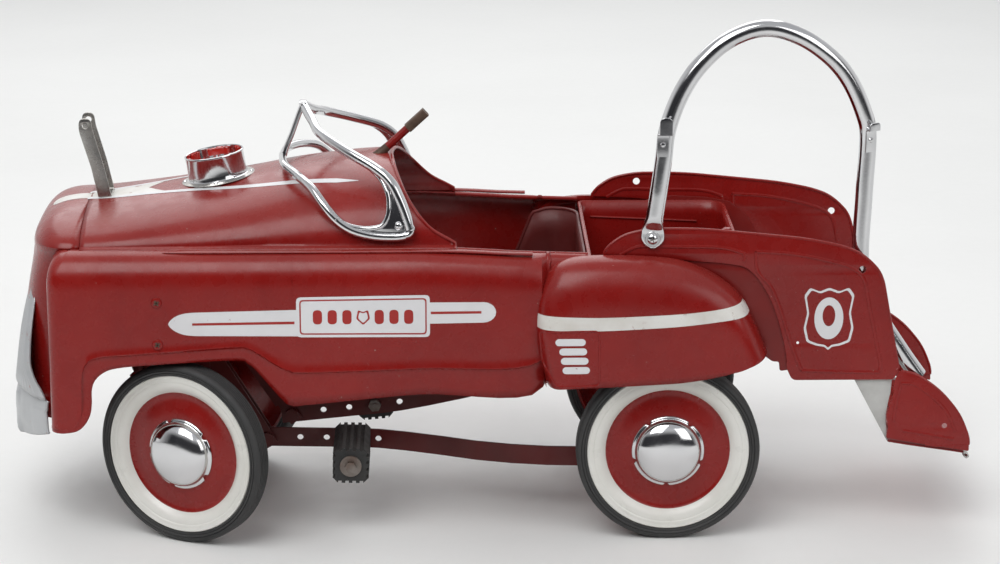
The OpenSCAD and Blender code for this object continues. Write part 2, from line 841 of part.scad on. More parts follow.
// Rubber pedal block: a square with cut corners and ribs on its four faces.
module pedal(left) {
    half = 20;
    cut = 6;
    ribs = 3;
    function turned(p, a) = [p[0] * cos(a) - p[1] * sin(a), p[0] * sin(a) + p[1] * cos(a)];
    pitch = 2 * (half - cut) / (2 * ribs + 1);
    face = [for (i = [0:2 * ribs + 1]) each
        let (x = -half + cut + i * pitch, low = half - 2.5, even = i % 2 == 0)
        even ? [[x, half], [x + 0.01, low]] : [[x - 0.01, low], [x, half]]];
    color(black)
        at_strap(left)
            difference() {
                translate([strap_len - pedal_step, pedal_y1, 0])
                    rotate([90, 0, 0])
                        linear_extrude(height = pedal_y1 - pedal_y0)
                            polygon([for (a = [0:90:270]) each
                                [for (i = [len(face) - 1:-1:0]) turned(face[i], a)]]);
                y_bar(strap_len - pedal_step, pedal_y0 - 1, pedal_y1 + 1, 0, 3.4 + fit);
            }
}

hood_cowl();
nose_panel();
grille();
front_bumper();
body_side(true);  // body_side_left
body_side(false);  // body_side_right
rear_fender(true);  // rear_fender_left
rear_fender(false);  // rear_fender_right
side_panel(true);  // side_panel_left
side_panel(false);  // side_panel_right
seat();
rear_tub();
deck_knob();
step_riser();
step_tread();
step_side(true);  // step_side_left
step_side(false);  // step_side_right
windshield_frame();
windshield_screws();
bell_bracket();
beacon_base();
beacon_lens_shards();
grab_rail();
ladder_hooks();
rail_bolts();
fender_screws();
front_crossmember();
axle_stirrup(true);  // axle_stirrup_left
axle_stirrup(false);  // axle_stirrup_right
front_axle_beam();
column_bracket();
steering_column();
spindle(true);  // spindle_left
spindle(false);  // spindle_right
tie_rod();
tyre(0);  // tyre_front_left
tyre(1);  // tyre_front_right
tyre(2);  // tyre_rear_left
tyre(3);  // tyre_rear_right
wheel(0);  // wheel_front_left
wheel(1);  // wheel_front_right
wheel(2);  // wheel_rear_left
wheel(3);  // wheel_rear_right
hubcap(0);  // hubcap_front_left
hubcap(1);  // hubcap_front_right
hubcap(2);  // hubcap_rear_left
hubcap(3);  // hubcap_rear_right
rear_axle();
axle_hanger(true);  // axle_hanger_left
axle_hanger(false);  // axle_hanger_right
pedal_strap(true);  // pedal_strap_left
pedal_strap(false);  // pedal_strap_right
pedal_hanger(true);  // pedal_hanger_left
pedal_hanger(false);  // pedal_hanger_right
pedal(true);  // pedal_left
pedal(false);  // pedal_right
pedal_bolt(true);  // pedal_bolt_left
pedal_bolt(false);  // pedal_bolt_right
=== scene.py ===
"""Looks of a riding toy fire truck with pedals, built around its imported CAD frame.

Shapes are worked out in millimetres and written to the meshes in metres.
+X is the nose, +Y the car's left, +Z up. The origin is on the floor, under the middle.
"""

import json
import math

import bmesh
import bpy
from mathutils import Matrix, Vector
from mathutils.bvhtree import BVHTree


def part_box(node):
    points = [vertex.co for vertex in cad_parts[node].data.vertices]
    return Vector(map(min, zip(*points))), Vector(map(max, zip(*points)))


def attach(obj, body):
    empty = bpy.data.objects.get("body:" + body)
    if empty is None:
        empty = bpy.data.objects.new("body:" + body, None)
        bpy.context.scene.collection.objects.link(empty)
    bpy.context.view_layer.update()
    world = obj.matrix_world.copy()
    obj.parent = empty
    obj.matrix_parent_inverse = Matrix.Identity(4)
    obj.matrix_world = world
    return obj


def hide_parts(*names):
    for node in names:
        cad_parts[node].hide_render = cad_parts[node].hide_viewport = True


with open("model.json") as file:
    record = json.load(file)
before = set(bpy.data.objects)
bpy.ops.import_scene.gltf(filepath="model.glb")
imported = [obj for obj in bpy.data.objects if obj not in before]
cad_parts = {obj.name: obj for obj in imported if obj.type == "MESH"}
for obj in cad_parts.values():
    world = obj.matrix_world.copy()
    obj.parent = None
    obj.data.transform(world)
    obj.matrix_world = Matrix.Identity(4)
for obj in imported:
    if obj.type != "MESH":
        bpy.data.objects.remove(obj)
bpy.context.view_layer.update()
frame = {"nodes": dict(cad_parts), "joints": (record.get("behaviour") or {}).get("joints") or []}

MM = 0.001
SIDES = {"left": 1, "right": -1}
LOW = {name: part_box(name)[0] / MM for name in frame["nodes"]}
HIGH = {name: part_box(name)[1] / MM for name in frame["nodes"]}


# ---------- numbers that the whole body shares ----------

side_y = HIGH["body_side_left"].y          # outer face of the body sides
seam_x = LOW["nose_panel"].x               # joint between the hood and the prow
crease_z = LOW["hood_cowl"].z              # base of the hood
crease_y = HIGH["hood_cowl"].y             # half width of the hood and of the cockpit
fender_y = HIGH["rear_fender_left"].y      # outer face of the rear fenders
fender_in = LOW["rear_fender_left"].y      # inner edge of the rear fenders
panel_y = HIGH["side_panel_left"].y        # outer face of the rear side panels
sheet = 1.4                                # thickness of the pressed steel
shoulder_n = 2.4                           # roundness of the front fender's shoulder
shoulder_drop = 39                         # height of that shoulder
crown = [(122, 406), (174, 401), (219, 394), (264, 384), (343, 371.5), (399, 363), (433, 358.5),
         (445, 357.3)]
cowl_edge = [(0, 104), (12, 102), (25, 98.5), (36, 94), (50, 87), (61, 78), (72, 67), (81, 53),
             (90, 18)]


# ---------- small maths ----------

def lerp(a, b, t):
    """Value a share t of the way from a to b."""
    return a + (b - a) * t


def ease(t):
    """Smooth step from 0 at t = 0 to 1 at t = 1."""
    t = min(1, max(0, t))
    return t * t * (3 - 2 * t)


def lookup(x, table):
    """Straight-line value at x in a table of (x, value) that rises or falls in x."""
    rows = sorted(table)
    if x <= rows[0][0]:
        return rows[0][1]
    for (x0, y0), (x1, y1) in zip(rows, rows[1:]):
        if x <= x1:
            return lerp(y0, y1, (x - x0) / (x1 - x0))
    return rows[-1][1]


def smooth_lookup(x, table):
    """The same, rounded at the table's points."""
    reach = (table[-1][0] - table[0][0]) / 14
    steps = [-1, -0.5, 0, 0.5, 1]
    return sum(lookup(x + reach * s, table) for s in steps) / len(steps)


def power(value, exponent):
    """A power that keeps the value's sign."""
    return math.copysign(abs(value) ** exponent, value)


def spline(points, steps, closed=False):
    """Points on a smooth curve through the given points, of any dimension."""
    p = [Vector(v) for v in points]
    n = len(p)

    def at(i):
        return p[i % n] if closed else p[min(n - 1, max(0, i))]

    out = []
    for i in range(n if closed else n - 1):
        a, b, c, d = at(i - 1), at(i), at(i + 1), at(i + 2)
        for s in range(steps):
            t = s / steps
            out.append(0.5 * (2 * b + (c - a) * t + (2 * a - 5 * b + 4 * c - d) * t * t
                              + (3 * b - a - 3 * c + d) * t ** 3))
    return out if closed else out + [p[-1]]


def even(points, count):
    """The same path with points at equal distances."""
    p = [Vector(v) for v in points]
    lengths = [0]
    for a, b in zip(p, p[1:]):
        lengths.append(lengths[-1] + (b - a).length)
    out = []
    k = 0
    for i in range(count):
        goal = lengths[-1] * i / (count - 1)
        while k < len(p) - 2 and lengths[k + 1] < goal:
            k += 1
        span = lengths[k + 1] - lengths[k] or 1
        out.append(p[k].lerp(p[k + 1], min(1, (goal - lengths[k]) / span)))
    return out


def arc(cx, cy, rx, ry, a0, a1, steps):
    """Points on an ellipse's arc, angles in degrees."""
    turns = [math.radians(lerp(a0, a1, i / steps)) for i in range(steps + 1)]
    return [(cx + rx * math.cos(a), cy + ry * math.sin(a)) for a in turns]


def rounded(points, radius, steps=5):
    """A closed outline with every corner rounded; radius is a number or one per corner."""
    p = [Vector(v) for v in points]
    n = len(p)
    radii = radius if isinstance(radius, (list, tuple)) else [radius] * n
    out = []
    for i in range(n):
        a, b, c = p[i - 1], p[i], p[(i + 1) % n]
        cut = min(radii[i], 0.48 * (a - b).length, 0.48 * (c - b).length)
        if cut < 0.1:
            out.append(b)
            continue
        start, end = b + (a - b).normalized() * cut, b + (c - b).normalized() * cut
        for s in range(steps + 1):
            t = s / steps
            out.append(start * (1 - t) ** 2 + b * 2 * t * (1 - t) + end * t * t)
    return out


def outline(corners, steps=5):
    """A closed outline from ((x, z), radius) corners."""
    return rounded([place for place, _ in corners], [radius for _, radius in corners], steps)


def oblong(x0, z0, x1, z1):
    """Outline of a rectangle between two corners."""
    return [(x0, z0), (x1, z0), (x1, z1), (x0, z1)]


# ---------- shapes: each returns (points, faces) ----------

def grid(rows, wrap=False):
    """Surface through rows of points, closed round each row when wrap is set."""
    m = len(rows[0])
    points = [Vector(p) for row in rows for p in row]
    faces = [(i * m + j, i * m + (j + 1) % m, (i + 1) * m + (j + 1) % m, (i + 1) * m + j)
             for i in range(len(rows) - 1) for j in range(m if wrap else m - 1)]
    return points, faces


def join(*shapes):
    """Several shapes as one."""
    points, faces = [], []
    for p, f in shapes:
        start = len(points)
        points += p
        faces += [tuple(k + start for k in face) for face in f]
    return points, faces


def moved(shape, change):
    """The same shape with each point passed through change, a matrix or a function."""
    points, faces = shape
    if isinstance(change, Matrix):
        return [change @ p for p in points], faces
    return [Vector(change(p)) for p in points], faces


def mirror(shape, sign):
    """The same shape on the car's left (1) or right (-1)."""
    return moved(shape, lambda p: (p.x, p.y * sign, p.z))


def ring(a, b=None, sides=16, n=2.0):
    """Cross-section for sweep(): an ellipse, or squarer when n is above 2."""
    b = b or a
    turns = [2 * math.pi * k / sides for k in range(sides)]
    return [(a * power(math.cos(t), 2 / n), b * power(math.sin(t), 2 / n)) for t in turns]


def sweep(path, section, up=(0, 0, 1), closed=False):
    """Carries a cross-section along a path; section is a list or a function of 0 to 1."""
    path = [Vector(p) for p in path]
    up = Vector(up)
    n = len(path)
    points = []
    for i, p in enumerate(path):
        before = path[i - 1] if closed or i else p
        after = path[(i + 1) % n] if closed or i < n - 1 else p
        ahead = (after - before).normalized()
        side = up.cross(ahead).normalized()
        rise = ahead.cross(side)
        shape = section(i / (n - 1)) if callable(section) else section
        points += [p + side * s + rise * r for s, r in shape]
    m = len(shape)
    faces = [(i * m + k, i * m + (k + 1) % m, (i + 1) % n * m + (k + 1) % m, (i + 1) % n * m + k)
             for i in range(n if closed else n - 1) for k in range(m)]
    if not closed:
        faces += [tuple(range(m)), tuple((n - 1) * m + k for k in range(m))]
    return points, faces


def lathe(profile, segments, trim=None):
    """Turns (radius, height) pairs around Z. trim(angle, radius) may pull a radius in."""
    rows = []
    for r, z in profile:
        row = []
        for k in range(segments):
            a = 2 * math.pi * k / segments
            rr = trim(a, r) if trim else r
            row.append((rr * math.cos(a), rr * math.sin(a), z))
        rows.append(row)
    return grid(rows, wrap=True)


def flat_shape(loops, thickness, bevel=0.4):
    """A flat plate of the first loop less the others, in X-Y, centred on Z = 0."""
    curve = bpy.data.curves.new("outline", "CURVE")
    curve.dimensions = "2D"
    curve.fill_mode = "BOTH"
    curve.extrude = max(0, thickness / 2 - bevel) if thickness else 0
    if thickness and bevel:
        curve.bevel_depth = bevel
        curve.bevel_resolution = 2
        curve.offset = -bevel
    for loop in loops:
        line = curve.splines.new("POLY")
        line.points.add(len(loop) - 1)
        for point, at in zip(line.points, loop):
            point.co = (at[0], at[1], 0, 1)
        line.use_cyclic_u = True
    holder = bpy.data.objects.new("outline", curve)
    bpy.context.scene.collection.objects.link(holder)
    mesh = bpy.data.meshes.new_from_object(
        holder.evaluated_get(bpy.context.evaluated_depsgraph_get()))
    work = bmesh.new()
    work.from_mesh(mesh)
    bmesh.ops.remove_doubles(work, verts=work.verts, dist=0.01)
    work.verts.ensure_lookup_table()
    shape = ([v.co.copy() for v in work.verts],
             [tuple(v.index for v in f.verts) for f in work.faces])
    work.free()
    bpy.data.objects.remove(holder)
    bpy.data.curves.remove(curve)
    bpy.data.meshes.remove(mesh)
    return shape


def upright(loops, y0, y1, bevel=0.4):
    """A plate whose outline is in X-Z, between two distances from the centreline."""
    return moved(flat_shape(loops, y1 - y0, bevel), lambda p: (p.x, (y0 + y1) / 2 - p.z, p.y))


def circle(x, z, r, steps=24):
    return [(x + r * math.cos(2 * math.pi * k / steps), z + r * math.sin(2 * math.pi * k / steps))
            for k in range(steps)]


def facing_out(x, y, z, sign=1):
    """Matrix that takes a shape drawn around Z to a place on a side, with +Z outward."""
    return Matrix.Translation((x, y, z)) @ Matrix.Rotation(-sign * math.pi / 2, 4, "X")


def cross_bars(half, half_width, depth, bevel, height, turn=0.0):
    """Two flat bars that cross at a height above a screw's seat."""
    bar = flat_shape([oblong(-half, -half_width, half, half_width)], depth, bevel)
    return [moved(bar, Matrix.Translation((0, 0, height))
                  @ Matrix.Rotation(k * math.pi / 2 + turn, 4, "Z")) for k in range(2)]


def bead(points, y, width=2.2, height=1.3, steps=6, closed=False):
    """A rib pressed in an upright plate along X-Z points."""
    path = [Vector((p[0], y, p[1])) for p in spline(points, steps, closed)]
    return sweep(path, ring(width, height, 10), (0, 1, 0), closed)


# ---------- materials ----------

# Each makes shader nodes in a tree and returns the new node or its output.

def node(tree, kind, inputs=None, **settings):
    made = tree.nodes.new(kind)
    for key, value in settings.items():
        setattr(made, key, value)
    for key, value in (inputs or {}).items():
        if isinstance(value, bpy.types.NodeSocket):
            tree.links.new(value, made.inputs[key])
        else:
            made.inputs[key].default_value = value
    return made


def noise(tree, place, scale, detail=4, rough=0.55):
    inputs = {"Vector": place, "Scale": scale, "Detail": detail, "Roughness": rough}
    return node(tree, "ShaderNodeTexNoise", inputs).outputs["Fac"]


def spread(tree, value, low, high, to_low, to_high):
    inputs = {0: value, 1: low, 2: high, 3: to_low, 4: to_high}
    return node(tree, "ShaderNodeMapRange", inputs).outputs[0]


def mixed(tree, share, a, b):
    made = node(tree, "ShaderNodeMix", data_type="RGBA")
    for key, value in ((0, share), (6, a), (7, b)):
        if isinstance(value, bpy.types.NodeSocket):
            tree.links.new(value, made.inputs[key])
        else:
            made.inputs[key].default_value = value
    return made.outputs[2]


def product(tree, a, b):
    inputs = {0: a, 1: b}
    return node(tree, "ShaderNodeMath", inputs, operation="MULTIPLY").outputs[0]


def rgba(colour):
    return (*colour, 1)


def finish_of(name, base, other, rough, metallic=0.0, coat=0.0, bump=0.02, bump_scale=900,
              blotch=9, marks=(), dust_and_sheen=None, ior=1.5, stretch=(1, 1, 1)):
    """A worn surface: two tones in blotches, layers of marks, dust and a painted sheen on what
    faces up, and uneven gloss. Each mark is (scale, threshold, colour, strength, patch scale)."""
    made = bpy.data.materials.new(name)
    made.use_nodes = True
    tree = made.node_tree
    shader = tree.nodes["Principled BSDF"]
    coords = node(tree, "ShaderNodeTexCoord").outputs["Object"]
    place = node(tree, "ShaderNodeMapping", {"Vector": coords, "Scale": stretch}).outputs[0]
    tone = spread(tree, noise(tree, place, blotch), 0.35, 0.7, 0, 1)
    colour = mixed(tree, tone, rgba(base), rgba(other))
    fine = noise(tree, place, 60, 6)
    gloss = spread(tree, fine, 0.3, 0.7, rough[0], rough[1])
    # Faces that point up are mixed towards a pale tint: partly dust, partly a painted sheen
    # standing for the pale room reflected in gloss paint.
    if dust_and_sheen:
        up = node(tree, "ShaderNodeSeparateXYZ",
                  {0: node(tree, "ShaderNodeNewGeometry").outputs["Normal"]}).outputs[2]
        share = product(tree, spread(tree, up, 0.25, 0.95, 0, dust_and_sheen[1]),
                        spread(tree, noise(tree, place, 22, 5), 0.3, 0.7, 0.5, 1.2))
        colour = mixed(tree, share, colour, rgba(dust_and_sheen[0]))
    for scale, threshold, mark, strength, patch in marks:
        spots = spread(tree, noise(tree, place, scale, 5, 0.65), threshold, threshold + 0.03,
                       0, strength)
        where = spread(tree, noise(tree, place, patch, 2), 0.48, 0.6, 0, 1)
        colour = mixed(tree, product(tree, spots, where), colour, rgba(mark))
    height = noise(tree, place, bump_scale, 3)
    relief = node(tree, "ShaderNodeBump", {"Height": height, "Strength": bump,
                                           "Distance": 0.001}).outputs[0]
    tree.links.new(colour, shader.inputs["Base Color"])
    tree.links.new(gloss, shader.inputs["Roughness"])
    tree.links.new(relief, shader.inputs["Normal"])
    shader.inputs["Metallic"].default_value = metallic
    shader.inputs["Coat Weight"].default_value = coat
    shader.inputs["Coat Roughness"].default_value = 0.12
    shader.inputs["IOR"].default_value = ior
    return made


chip = (0.55, 0.54, 0.5)
grime = (0.05, 0.02, 0.015)
pale_red = (0.42, 0.11, 0.09)
red_tones = ((0.24, 0.0085, 0.0065), (0.19, 0.0065, 0.0055))
# The pale tints given for up-facing faces stand for dust and, on the gloss paints, a painted sheen
# of the pale room.
LOOKS = {
    "red_enamel": finish_of(
        "red_enamel", *red_tones, (0.2, 0.36), coat=0.08, bump=0.05, bump_scale=700, ior=1.4,
        dust_and_sheen=(pale_red, 0.14),
        marks=[(210, 0.7, chip, 0.9, 7), (95, 0.68, grime, 0.6, 5), (420, 0.73, pale_red, 0.4, 9)]),
    "dark_red_paint": finish_of(
        "dark_red_paint", (0.12, 0.012, 0.011), (0.075, 0.01, 0.009), (0.35, 0.6), coat=0.05,
        ior=1.4, bump=0.15, dust_and_sheen=((0.16, 0.05, 0.045), 0.3),
        marks=[(160, 0.66, (0.02, 0.012, 0.01), 0.7, 12), (300, 0.72, (0.35, 0.2, 0.17), 0.5, 9)]),
    "silver_paint": finish_of(
        "silver_paint", (0.5, 0.51, 0.52), (0.4, 0.41, 0.42), (0.28, 0.45), metallic=0.35,
        coat=0.1, bump=0.1, marks=[(75, 0.63, (0.33, 0.03, 0.02), 0.9, 18),
                                   (260, 0.7, (0.3, 0.28, 0.26), 0.7, 9)]),
    "bare_primer": finish_of(
        "bare_primer", (0.56, 0.56, 0.54), (0.38, 0.375, 0.36), (0.5, 0.75), bump=0.2, blotch=26,
        marks=[(120, 0.64, (0.2, 0.12, 0.09), 0.5, 12), (300, 0.7, (0.1, 0.08, 0.07), 0.6, 14)]),
    "chrome": finish_of(
        "chrome", (0.7, 0.7, 0.71), (0.56, 0.56, 0.57), (0.05, 0.17), metallic=1.0, bump=0.03,
        bump_scale=300, marks=[(330, 0.69, (0.12, 0.1, 0.08), 0.7, 14)]),
    "red_lens": finish_of(
        "red_lens", (0.55, 0.02, 0.012), (0.42, 0.014, 0.01), (0.08, 0.2), coat=0.6, bump=0.05,
        blotch=40),
    "tyre_rubber": finish_of(
        "tyre_rubber", (0.022, 0.022, 0.023), (0.04, 0.039, 0.038), (0.5, 0.72), bump=0.25,
        dust_and_sheen=((0.08, 0.075, 0.07), 0.12), marks=[(150, 0.68, (0.12, 0.11, 0.1), 0.4, 14)]),
    "whitewall_steel": finish_of(
        "whitewall_steel", (0.74, 0.73, 0.69), (0.66, 0.65, 0.6), (0.25, 0.42), coat=0.2,
        bump=0.05, blotch=14, marks=[(170, 0.68, (0.3, 0.2, 0.13), 0.7, 16),
                                     (420, 0.7, (0.25, 0.05, 0.04), 0.7, 20)]),
    "axle_steel": finish_of(
        "axle_steel", (0.3, 0.28, 0.26), (0.16, 0.12, 0.1), (0.35, 0.6), metallic=0.8, bump=0.2,
        blotch=40, marks=[(200, 0.6, (0.14, 0.06, 0.035), 0.7, 20)]),
    "pedal_rubber": finish_of(
        "pedal_rubber", (0.02, 0.02, 0.02), (0.035, 0.033, 0.03), (0.55, 0.8), bump=0.3,
        dust_and_sheen=((0.09, 0.08, 0.075), 0.4)),
}
WORN_CHROME = finish_of(
    "worn_chrome", (0.5, 0.49, 0.47), (0.36, 0.34, 0.31), (0.16, 0.34), metallic=0.9, bump=0.08,
    bump_scale=300, blotch=30, marks=[(200, 0.64, (0.24, 0.13, 0.05), 0.8, 26)])
WHITE_DECAL = finish_of(
    "white_decal", (0.72, 0.72, 0.73), (0.64, 0.63, 0.64), (0.3, 0.45), bump=0.03,
    marks=[(150, 0.69, (0.25, 0.03, 0.025), 0.85, 11), (330, 0.71, (0.3, 0.22, 0.18), 0.6, 13)])
WORN_DECAL = finish_of(
    "worn_white_decal", (0.72, 0.71, 0.68), (0.6, 0.57, 0.52), (0.3, 0.5), bump=0.06, blotch=30,
    marks=[(62, 0.575, (0.22, 0.03, 0.022), 0.9, 14), (170, 0.64, (0.2, 0.09, 0.06), 0.8, 12)])
RED_DECAL = finish_of(
    "red_decal", (0.36, 0.018, 0.014), (0.3, 0.014, 0.012), (0.3, 0.45), bump=0.03,
    marks=[(240, 0.7, chip, 0.6, 9)])
BARE_TIP = finish_of(
    "bare_tip", (0.13, 0.085, 0.06), (0.08, 0.05, 0.038), (0.5, 0.75), metallic=0.5, bump=0.3,
    blotch=90, marks=[(260, 0.62, (0.24, 0.15, 0.1), 0.6, 30)])
# The body's red enamel made darker as painted shade for the liner inside the rear arch, with grime
# spots.
RED_IN_PAINTED_SHADE = finish_of(
    "red_in_painted_shade", (0.19, 0.0085, 0.0065), (0.14, 0.007, 0.006), (0.26, 0.44), coat=0.06, bump=0.06,
    ior=1.4, dust_and_sheen=(pale_red, 0.1), marks=[(160, 0.68, grime, 0.6, 9)])


# ---------- making pieces ----------

def shade(mesh, angle):
    """Smooth shading, with edges sharper than an angle in degrees left sharp."""
    mesh.shade_smooth()
    mesh.set_sharp_from_angle(angle=math.radians(angle))


def piece(name, shape, body, slot, nodes=(), look=None, thick=0, out=None, angle=32):
    """Makes an object of a shape in millimetres, dressed and riding on a body.

    thick gives an open surface its thickness, on the side away from out."""
    points, faces = shape
    mesh = bpy.data.meshes.new(name)
    mesh.from_pydata([p * MM for p in points], [], faces)
    work = bmesh.new()
    work.from_mesh(mesh)
    bmesh.ops.remove_doubles(work, verts=work.verts, dist=0.02 * MM)
    bmesh.ops.recalc_face_normals(work, faces=work.faces)
    if out is not None:
        facing = sum((f.normal * f.calc_area() for f in work.faces), Vector())
        if facing.dot(Vector(out)) < 0:
            bmesh.ops.reverse_faces(work, faces=work.faces)
    work.to_mesh(mesh)
    work.free()
    obj = bpy.data.objects.new(name, mesh)
    bpy.context.scene.collection.objects.link(obj)
    if thick:
        solid = obj.modifiers.new("sheet", "SOLIDIFY")
        solid.thickness = thick * MM
        solid.offset = -1
    mesh.materials.append(look or LOOKS[slot])
    shade(mesh, angle)
    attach(obj, body)
    if nodes:
        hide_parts(*nodes)
    return obj


def fixed(name, shape, slot, nodes=(), **more):
    """A piece that rides on the body of the car."""
    return piece(name, shape, "chassis", slot, nodes, **more)


def decal(name, shape, look):
    """Paint laid on the body, as a sheet a hair above it."""
    return fixed(name, shape, "red_enamel" if look is RED_DECAL else "whitewall_steel", look=look)


def tree_of(*objects):
    """Search tree of several pieces, in millimetres."""
    points, faces = [], []
    for obj in objects:
        start = len(points)
        points += [v.co / MM for v in obj.data.vertices]
        faces += [tuple(k + start for k in p.vertices) for p in obj.data.polygons]
    return BVHTree.FromPolygons(points, faces)


def laid(shape, tree, direction, lift=0.3):
    """Drops a shape onto a surface along a direction and lifts it off by a hair."""
    direction = Vector(direction)
    points = []
    for p in shape[0]:
        hit, normal, _, _ = tree.ray_cast(p - direction * 400, direction)
        if hit is None:
            hit, normal, _, _ = tree.find_nearest(p)
        if normal.dot(direction) > 0:
            normal = -normal
        points.append(hit + normal * lift)
    return points, shape[1]


def ribbon(upper, lower, count, rows=4):
    """Grid between two X-Z lines, in the plane Y = 0."""
    top, low = even(upper, count), even(lower, count)
    return grid([[(lerp(a.x, b.x, j / rows), 0, lerp(a.y, b.y, j / rows))
                  for j in range(rows + 1)] for a, b in zip(top, low)])


# ---------- hood, cowl and prow ----------

def section_n(x):
    """Exponent of the hood's section, which is rounder towards the nose."""
    return lookup(x, [(80, 2.2), (seam_x, 1.9)])


def hood_point(x, degrees):
    """Point of the hood at a station, at an angle from the centreline."""
    a = math.radians(degrees)
    n = section_n(x)
    rise = smooth_lookup(x, crown) - crease_z
    return Vector((x, crease_y * power(math.sin(a), 2 / n),
                   crease_z + rise * abs(math.cos(a)) ** (2 / n)))


def base_flare(x, sign):
    """Foot of the hood, curving out on to the fender's shelf."""
    return [Vector((x, sign * (crease_y + 7 * t * t), crease_z + 4.2 - 4 * t))
            for t in (0.35, 0.7, 1)]


def make_hood():
    """Hood and cowl in one pressing, with a rolled lip round the cockpit."""
    rows = []
    count, half = 60, 40
    for i in range(count + 1):
        row = []
        for j in range(-half, half + 1):
            a = 86.5 * j / half
            x = lerp(smooth_lookup(abs(a), cowl_edge), seam_x - 0.5, i / count)
            row.append(hood_point(x, a))
        foot_x = row[0].x
        row = base_flare(foot_x, -1)[::-1] + row + base_flare(foot_x, 1)
        rows.append(row)
    lip = sweep([p + Vector((0.6, 0, -1.2)) for p in rows[0]], ring(1.9, 1.9, 10), (1, 0, 0))
    hood = fixed("hood", grid(rows), "red_enamel", ["hood_cowl"], thick=sheet, out=(0, 0, 1))
    fixed("cowl_lip", lip, "red_enamel")
    return hood


prow_side = [(129, 112), (303, 112), (316, 119), (crease_z, crease_y)]
prow_face = [(129, 519), (235, 517), (271, 512), (300, 506), (318, 503)]
prow_top = 357.3
prow_bend = 318


def prow_point(z, t):
    """Point of the prow at height z; t runs from the seam, 0, to the centreline, 1."""
    if z > crease_z:
        width = crease_y * (1 - ((z - crease_z) / (prow_top - crease_z)) ** 1.9) ** (1 / 1.9)
    else:
        width = lookup(z, prow_side)
    front = lookup(z, prow_face)
    if z > prow_bend:
        share = (z - prow_bend) / (prow_top - prow_bend)
        front = seam_x + (503 - seam_x) * max(0, 1 - share ** 2.3) ** (1 / 2.3)
    a = t * math.pi / 2
    n = 3.2
    return Vector((seam_x + (front - seam_x) * math.sin(a) ** (2 / n),
                   width * max(0, math.cos(a)) ** (2 / n), z))


def make_prow():
    """Rounded front of the hood, down to the bumper."""
    levels = [lerp(129, prow_bend, i / 14) for i in range(14)]
    levels += [prow_bend + (prow_top - prow_bend) * math.sin(math.pi / 2 * i / 22)
               for i in range(23)]
    levels[-1] -= 0.01
    rows = []
    for z in levels:
        half = [prow_point(z, t / 26) for t in range(27)]
        rows.append(half + [Vector((p.x, -p.y, p.z)) for p in half[-2::-1]])
    return fixed("prow", grid(rows), "red_enamel", ["nose_panel"], thick=sheet, out=(1, 0, 0.4))


# ---------- grille and bumper ----------

bumper_profile = [(86, 537.6), (140, 537), (150, 536), (176, 532), (223, 524), (262, 514),
                  (290, 507)]
bumper_bow = [(86, 52), (150, 48), (186, 21), (228, 18), (290, 16)]


def front_skin(y, z, proud=0.0):
    """Point of the curved front that the grille and the bumper share."""
    x = smooth_lookup(z, bumper_profile) - smooth_lookup(z, bumper_bow) * (abs(y) / 120) ** 2
    return Vector((x + proud, y, z))


def make_grille():
    """Convex silver grille: upright flutes between a top moulding and the bumper."""
    columns, rows = 168, 30
    top = 289

    def half_width(z):
        return lookup(z, [(150, 118), (180, 118), (205, 116), (230, 108), (262, 92), (top, 62)])

    def point(u, v):
        z = lerp(152, top, v)
        y = half_width(z) * u
        flute = 1.6 * (0.5 - 0.5 * math.cos(u * math.pi * 22)) * ease(v * 7) * ease((1 - v) * 9)
        edge = 4 * (ease((abs(u) - 0.9) / 0.1) + ease((v - 0.93) / 0.07))
        return front_skin(y, z, -flute - edge)

    shape = grid([[point(2 * j / columns - 1, i / rows) for j in range(columns + 1)]
                  for i in range(rows + 1)])
    fixed("grille_panel", shape, "silver_paint", ["grille"], thick=2, out=(1, 0, 0))


def make_bumper():
    """Bulging bumper with a raised block at each end that wraps round the corner."""
    rows = []
    columns, steps = 60, 26
    for i in range(steps + 1):
        v = i / steps
        row = []
        for j in range(columns + 1):
            u = 2 * j / columns - 1
            y = 120 * u
            z = lerp(90 + 24 * u * u, 152, v)
            swell = 5.5 * math.sin(math.pi * v) ** 0.7 - 6
            block = 4.5 * ease((abs(u) - 0.74) / 0.06) * (1 - ease((v - 0.62) / 0.1))
            guard = 4.0 * (1 - ease((abs(abs(u) - 0.36) - 0.05) / 0.03))
            guard *= 1 - ease((v - 0.72) / 0.2)
            row.append(front_skin(y, z, min(0, swell + block + guard)))
        rows.append(row)
    fixed("bumper", grid(rows), "silver_paint", ["front_bumper"], thick=2.2, out=(1, 0, 0))


# ---------- body sides with the front fenders ----------

corner_r = 15
nose_x = 478
corner_x = nose_x - corner_r
valley_y = 118
valley_r = 12
# Bottom edge, pressed line above it, position along the shoulder, depth of the band between.
stations = [
    ((-111, 300), (-111, 303), -111, 0), ((-66, 296), (-66, 300), -66, 0),
    ((-62, 176), (-60, 209), -60, 2), ((73, 171), (73, 201), 73, 2),
    ((192, 160), (196, 197), 196, 2), ((214, 159), (216, 199.5), 212, 2),
    ((225, 167), (230, 206), 226, 2), ((249, 196), (248, 218), 245, 2),
    ((260, 206.5), (260, 224.5), 260, 2), ((276, 211), (276, 226), 276, 2),
    ((367, 206), (367, 219.5), 367, 2), ((404, 202.5), (410, 216.8), 406, 2),
    ((419, 197), (424, 215), 421, 2), ((428, 188), (435, 210), 433, 2),
    ((431.5, 177), (440.5, 199), 441, 2), ((432, 162), (442, 180), 447, 2),
    ((434, 150), (442.5, 162), 452, 1.6), ((440, 139), (444, 149), 456, 0.8),
    ((449, 131.5), (451, 137), 460, 0.2), ((corner_x, 129), (corner_x, 133), corner_x, 0)]
rim_z = [(-111, 320), (-59, 323), (7, 324), (29, 329), (445, 329)]


def station_curve(pick, steps=7):
    """Smooth curve along the car through one value of each station."""
    return spline([pick(s) for s in stations], steps)


def side_reach(x):
    """Distance of the side from the centreline; it tucks in under the rear fender."""
    return lerp(146, side_y, ease((x + 66) / 8))


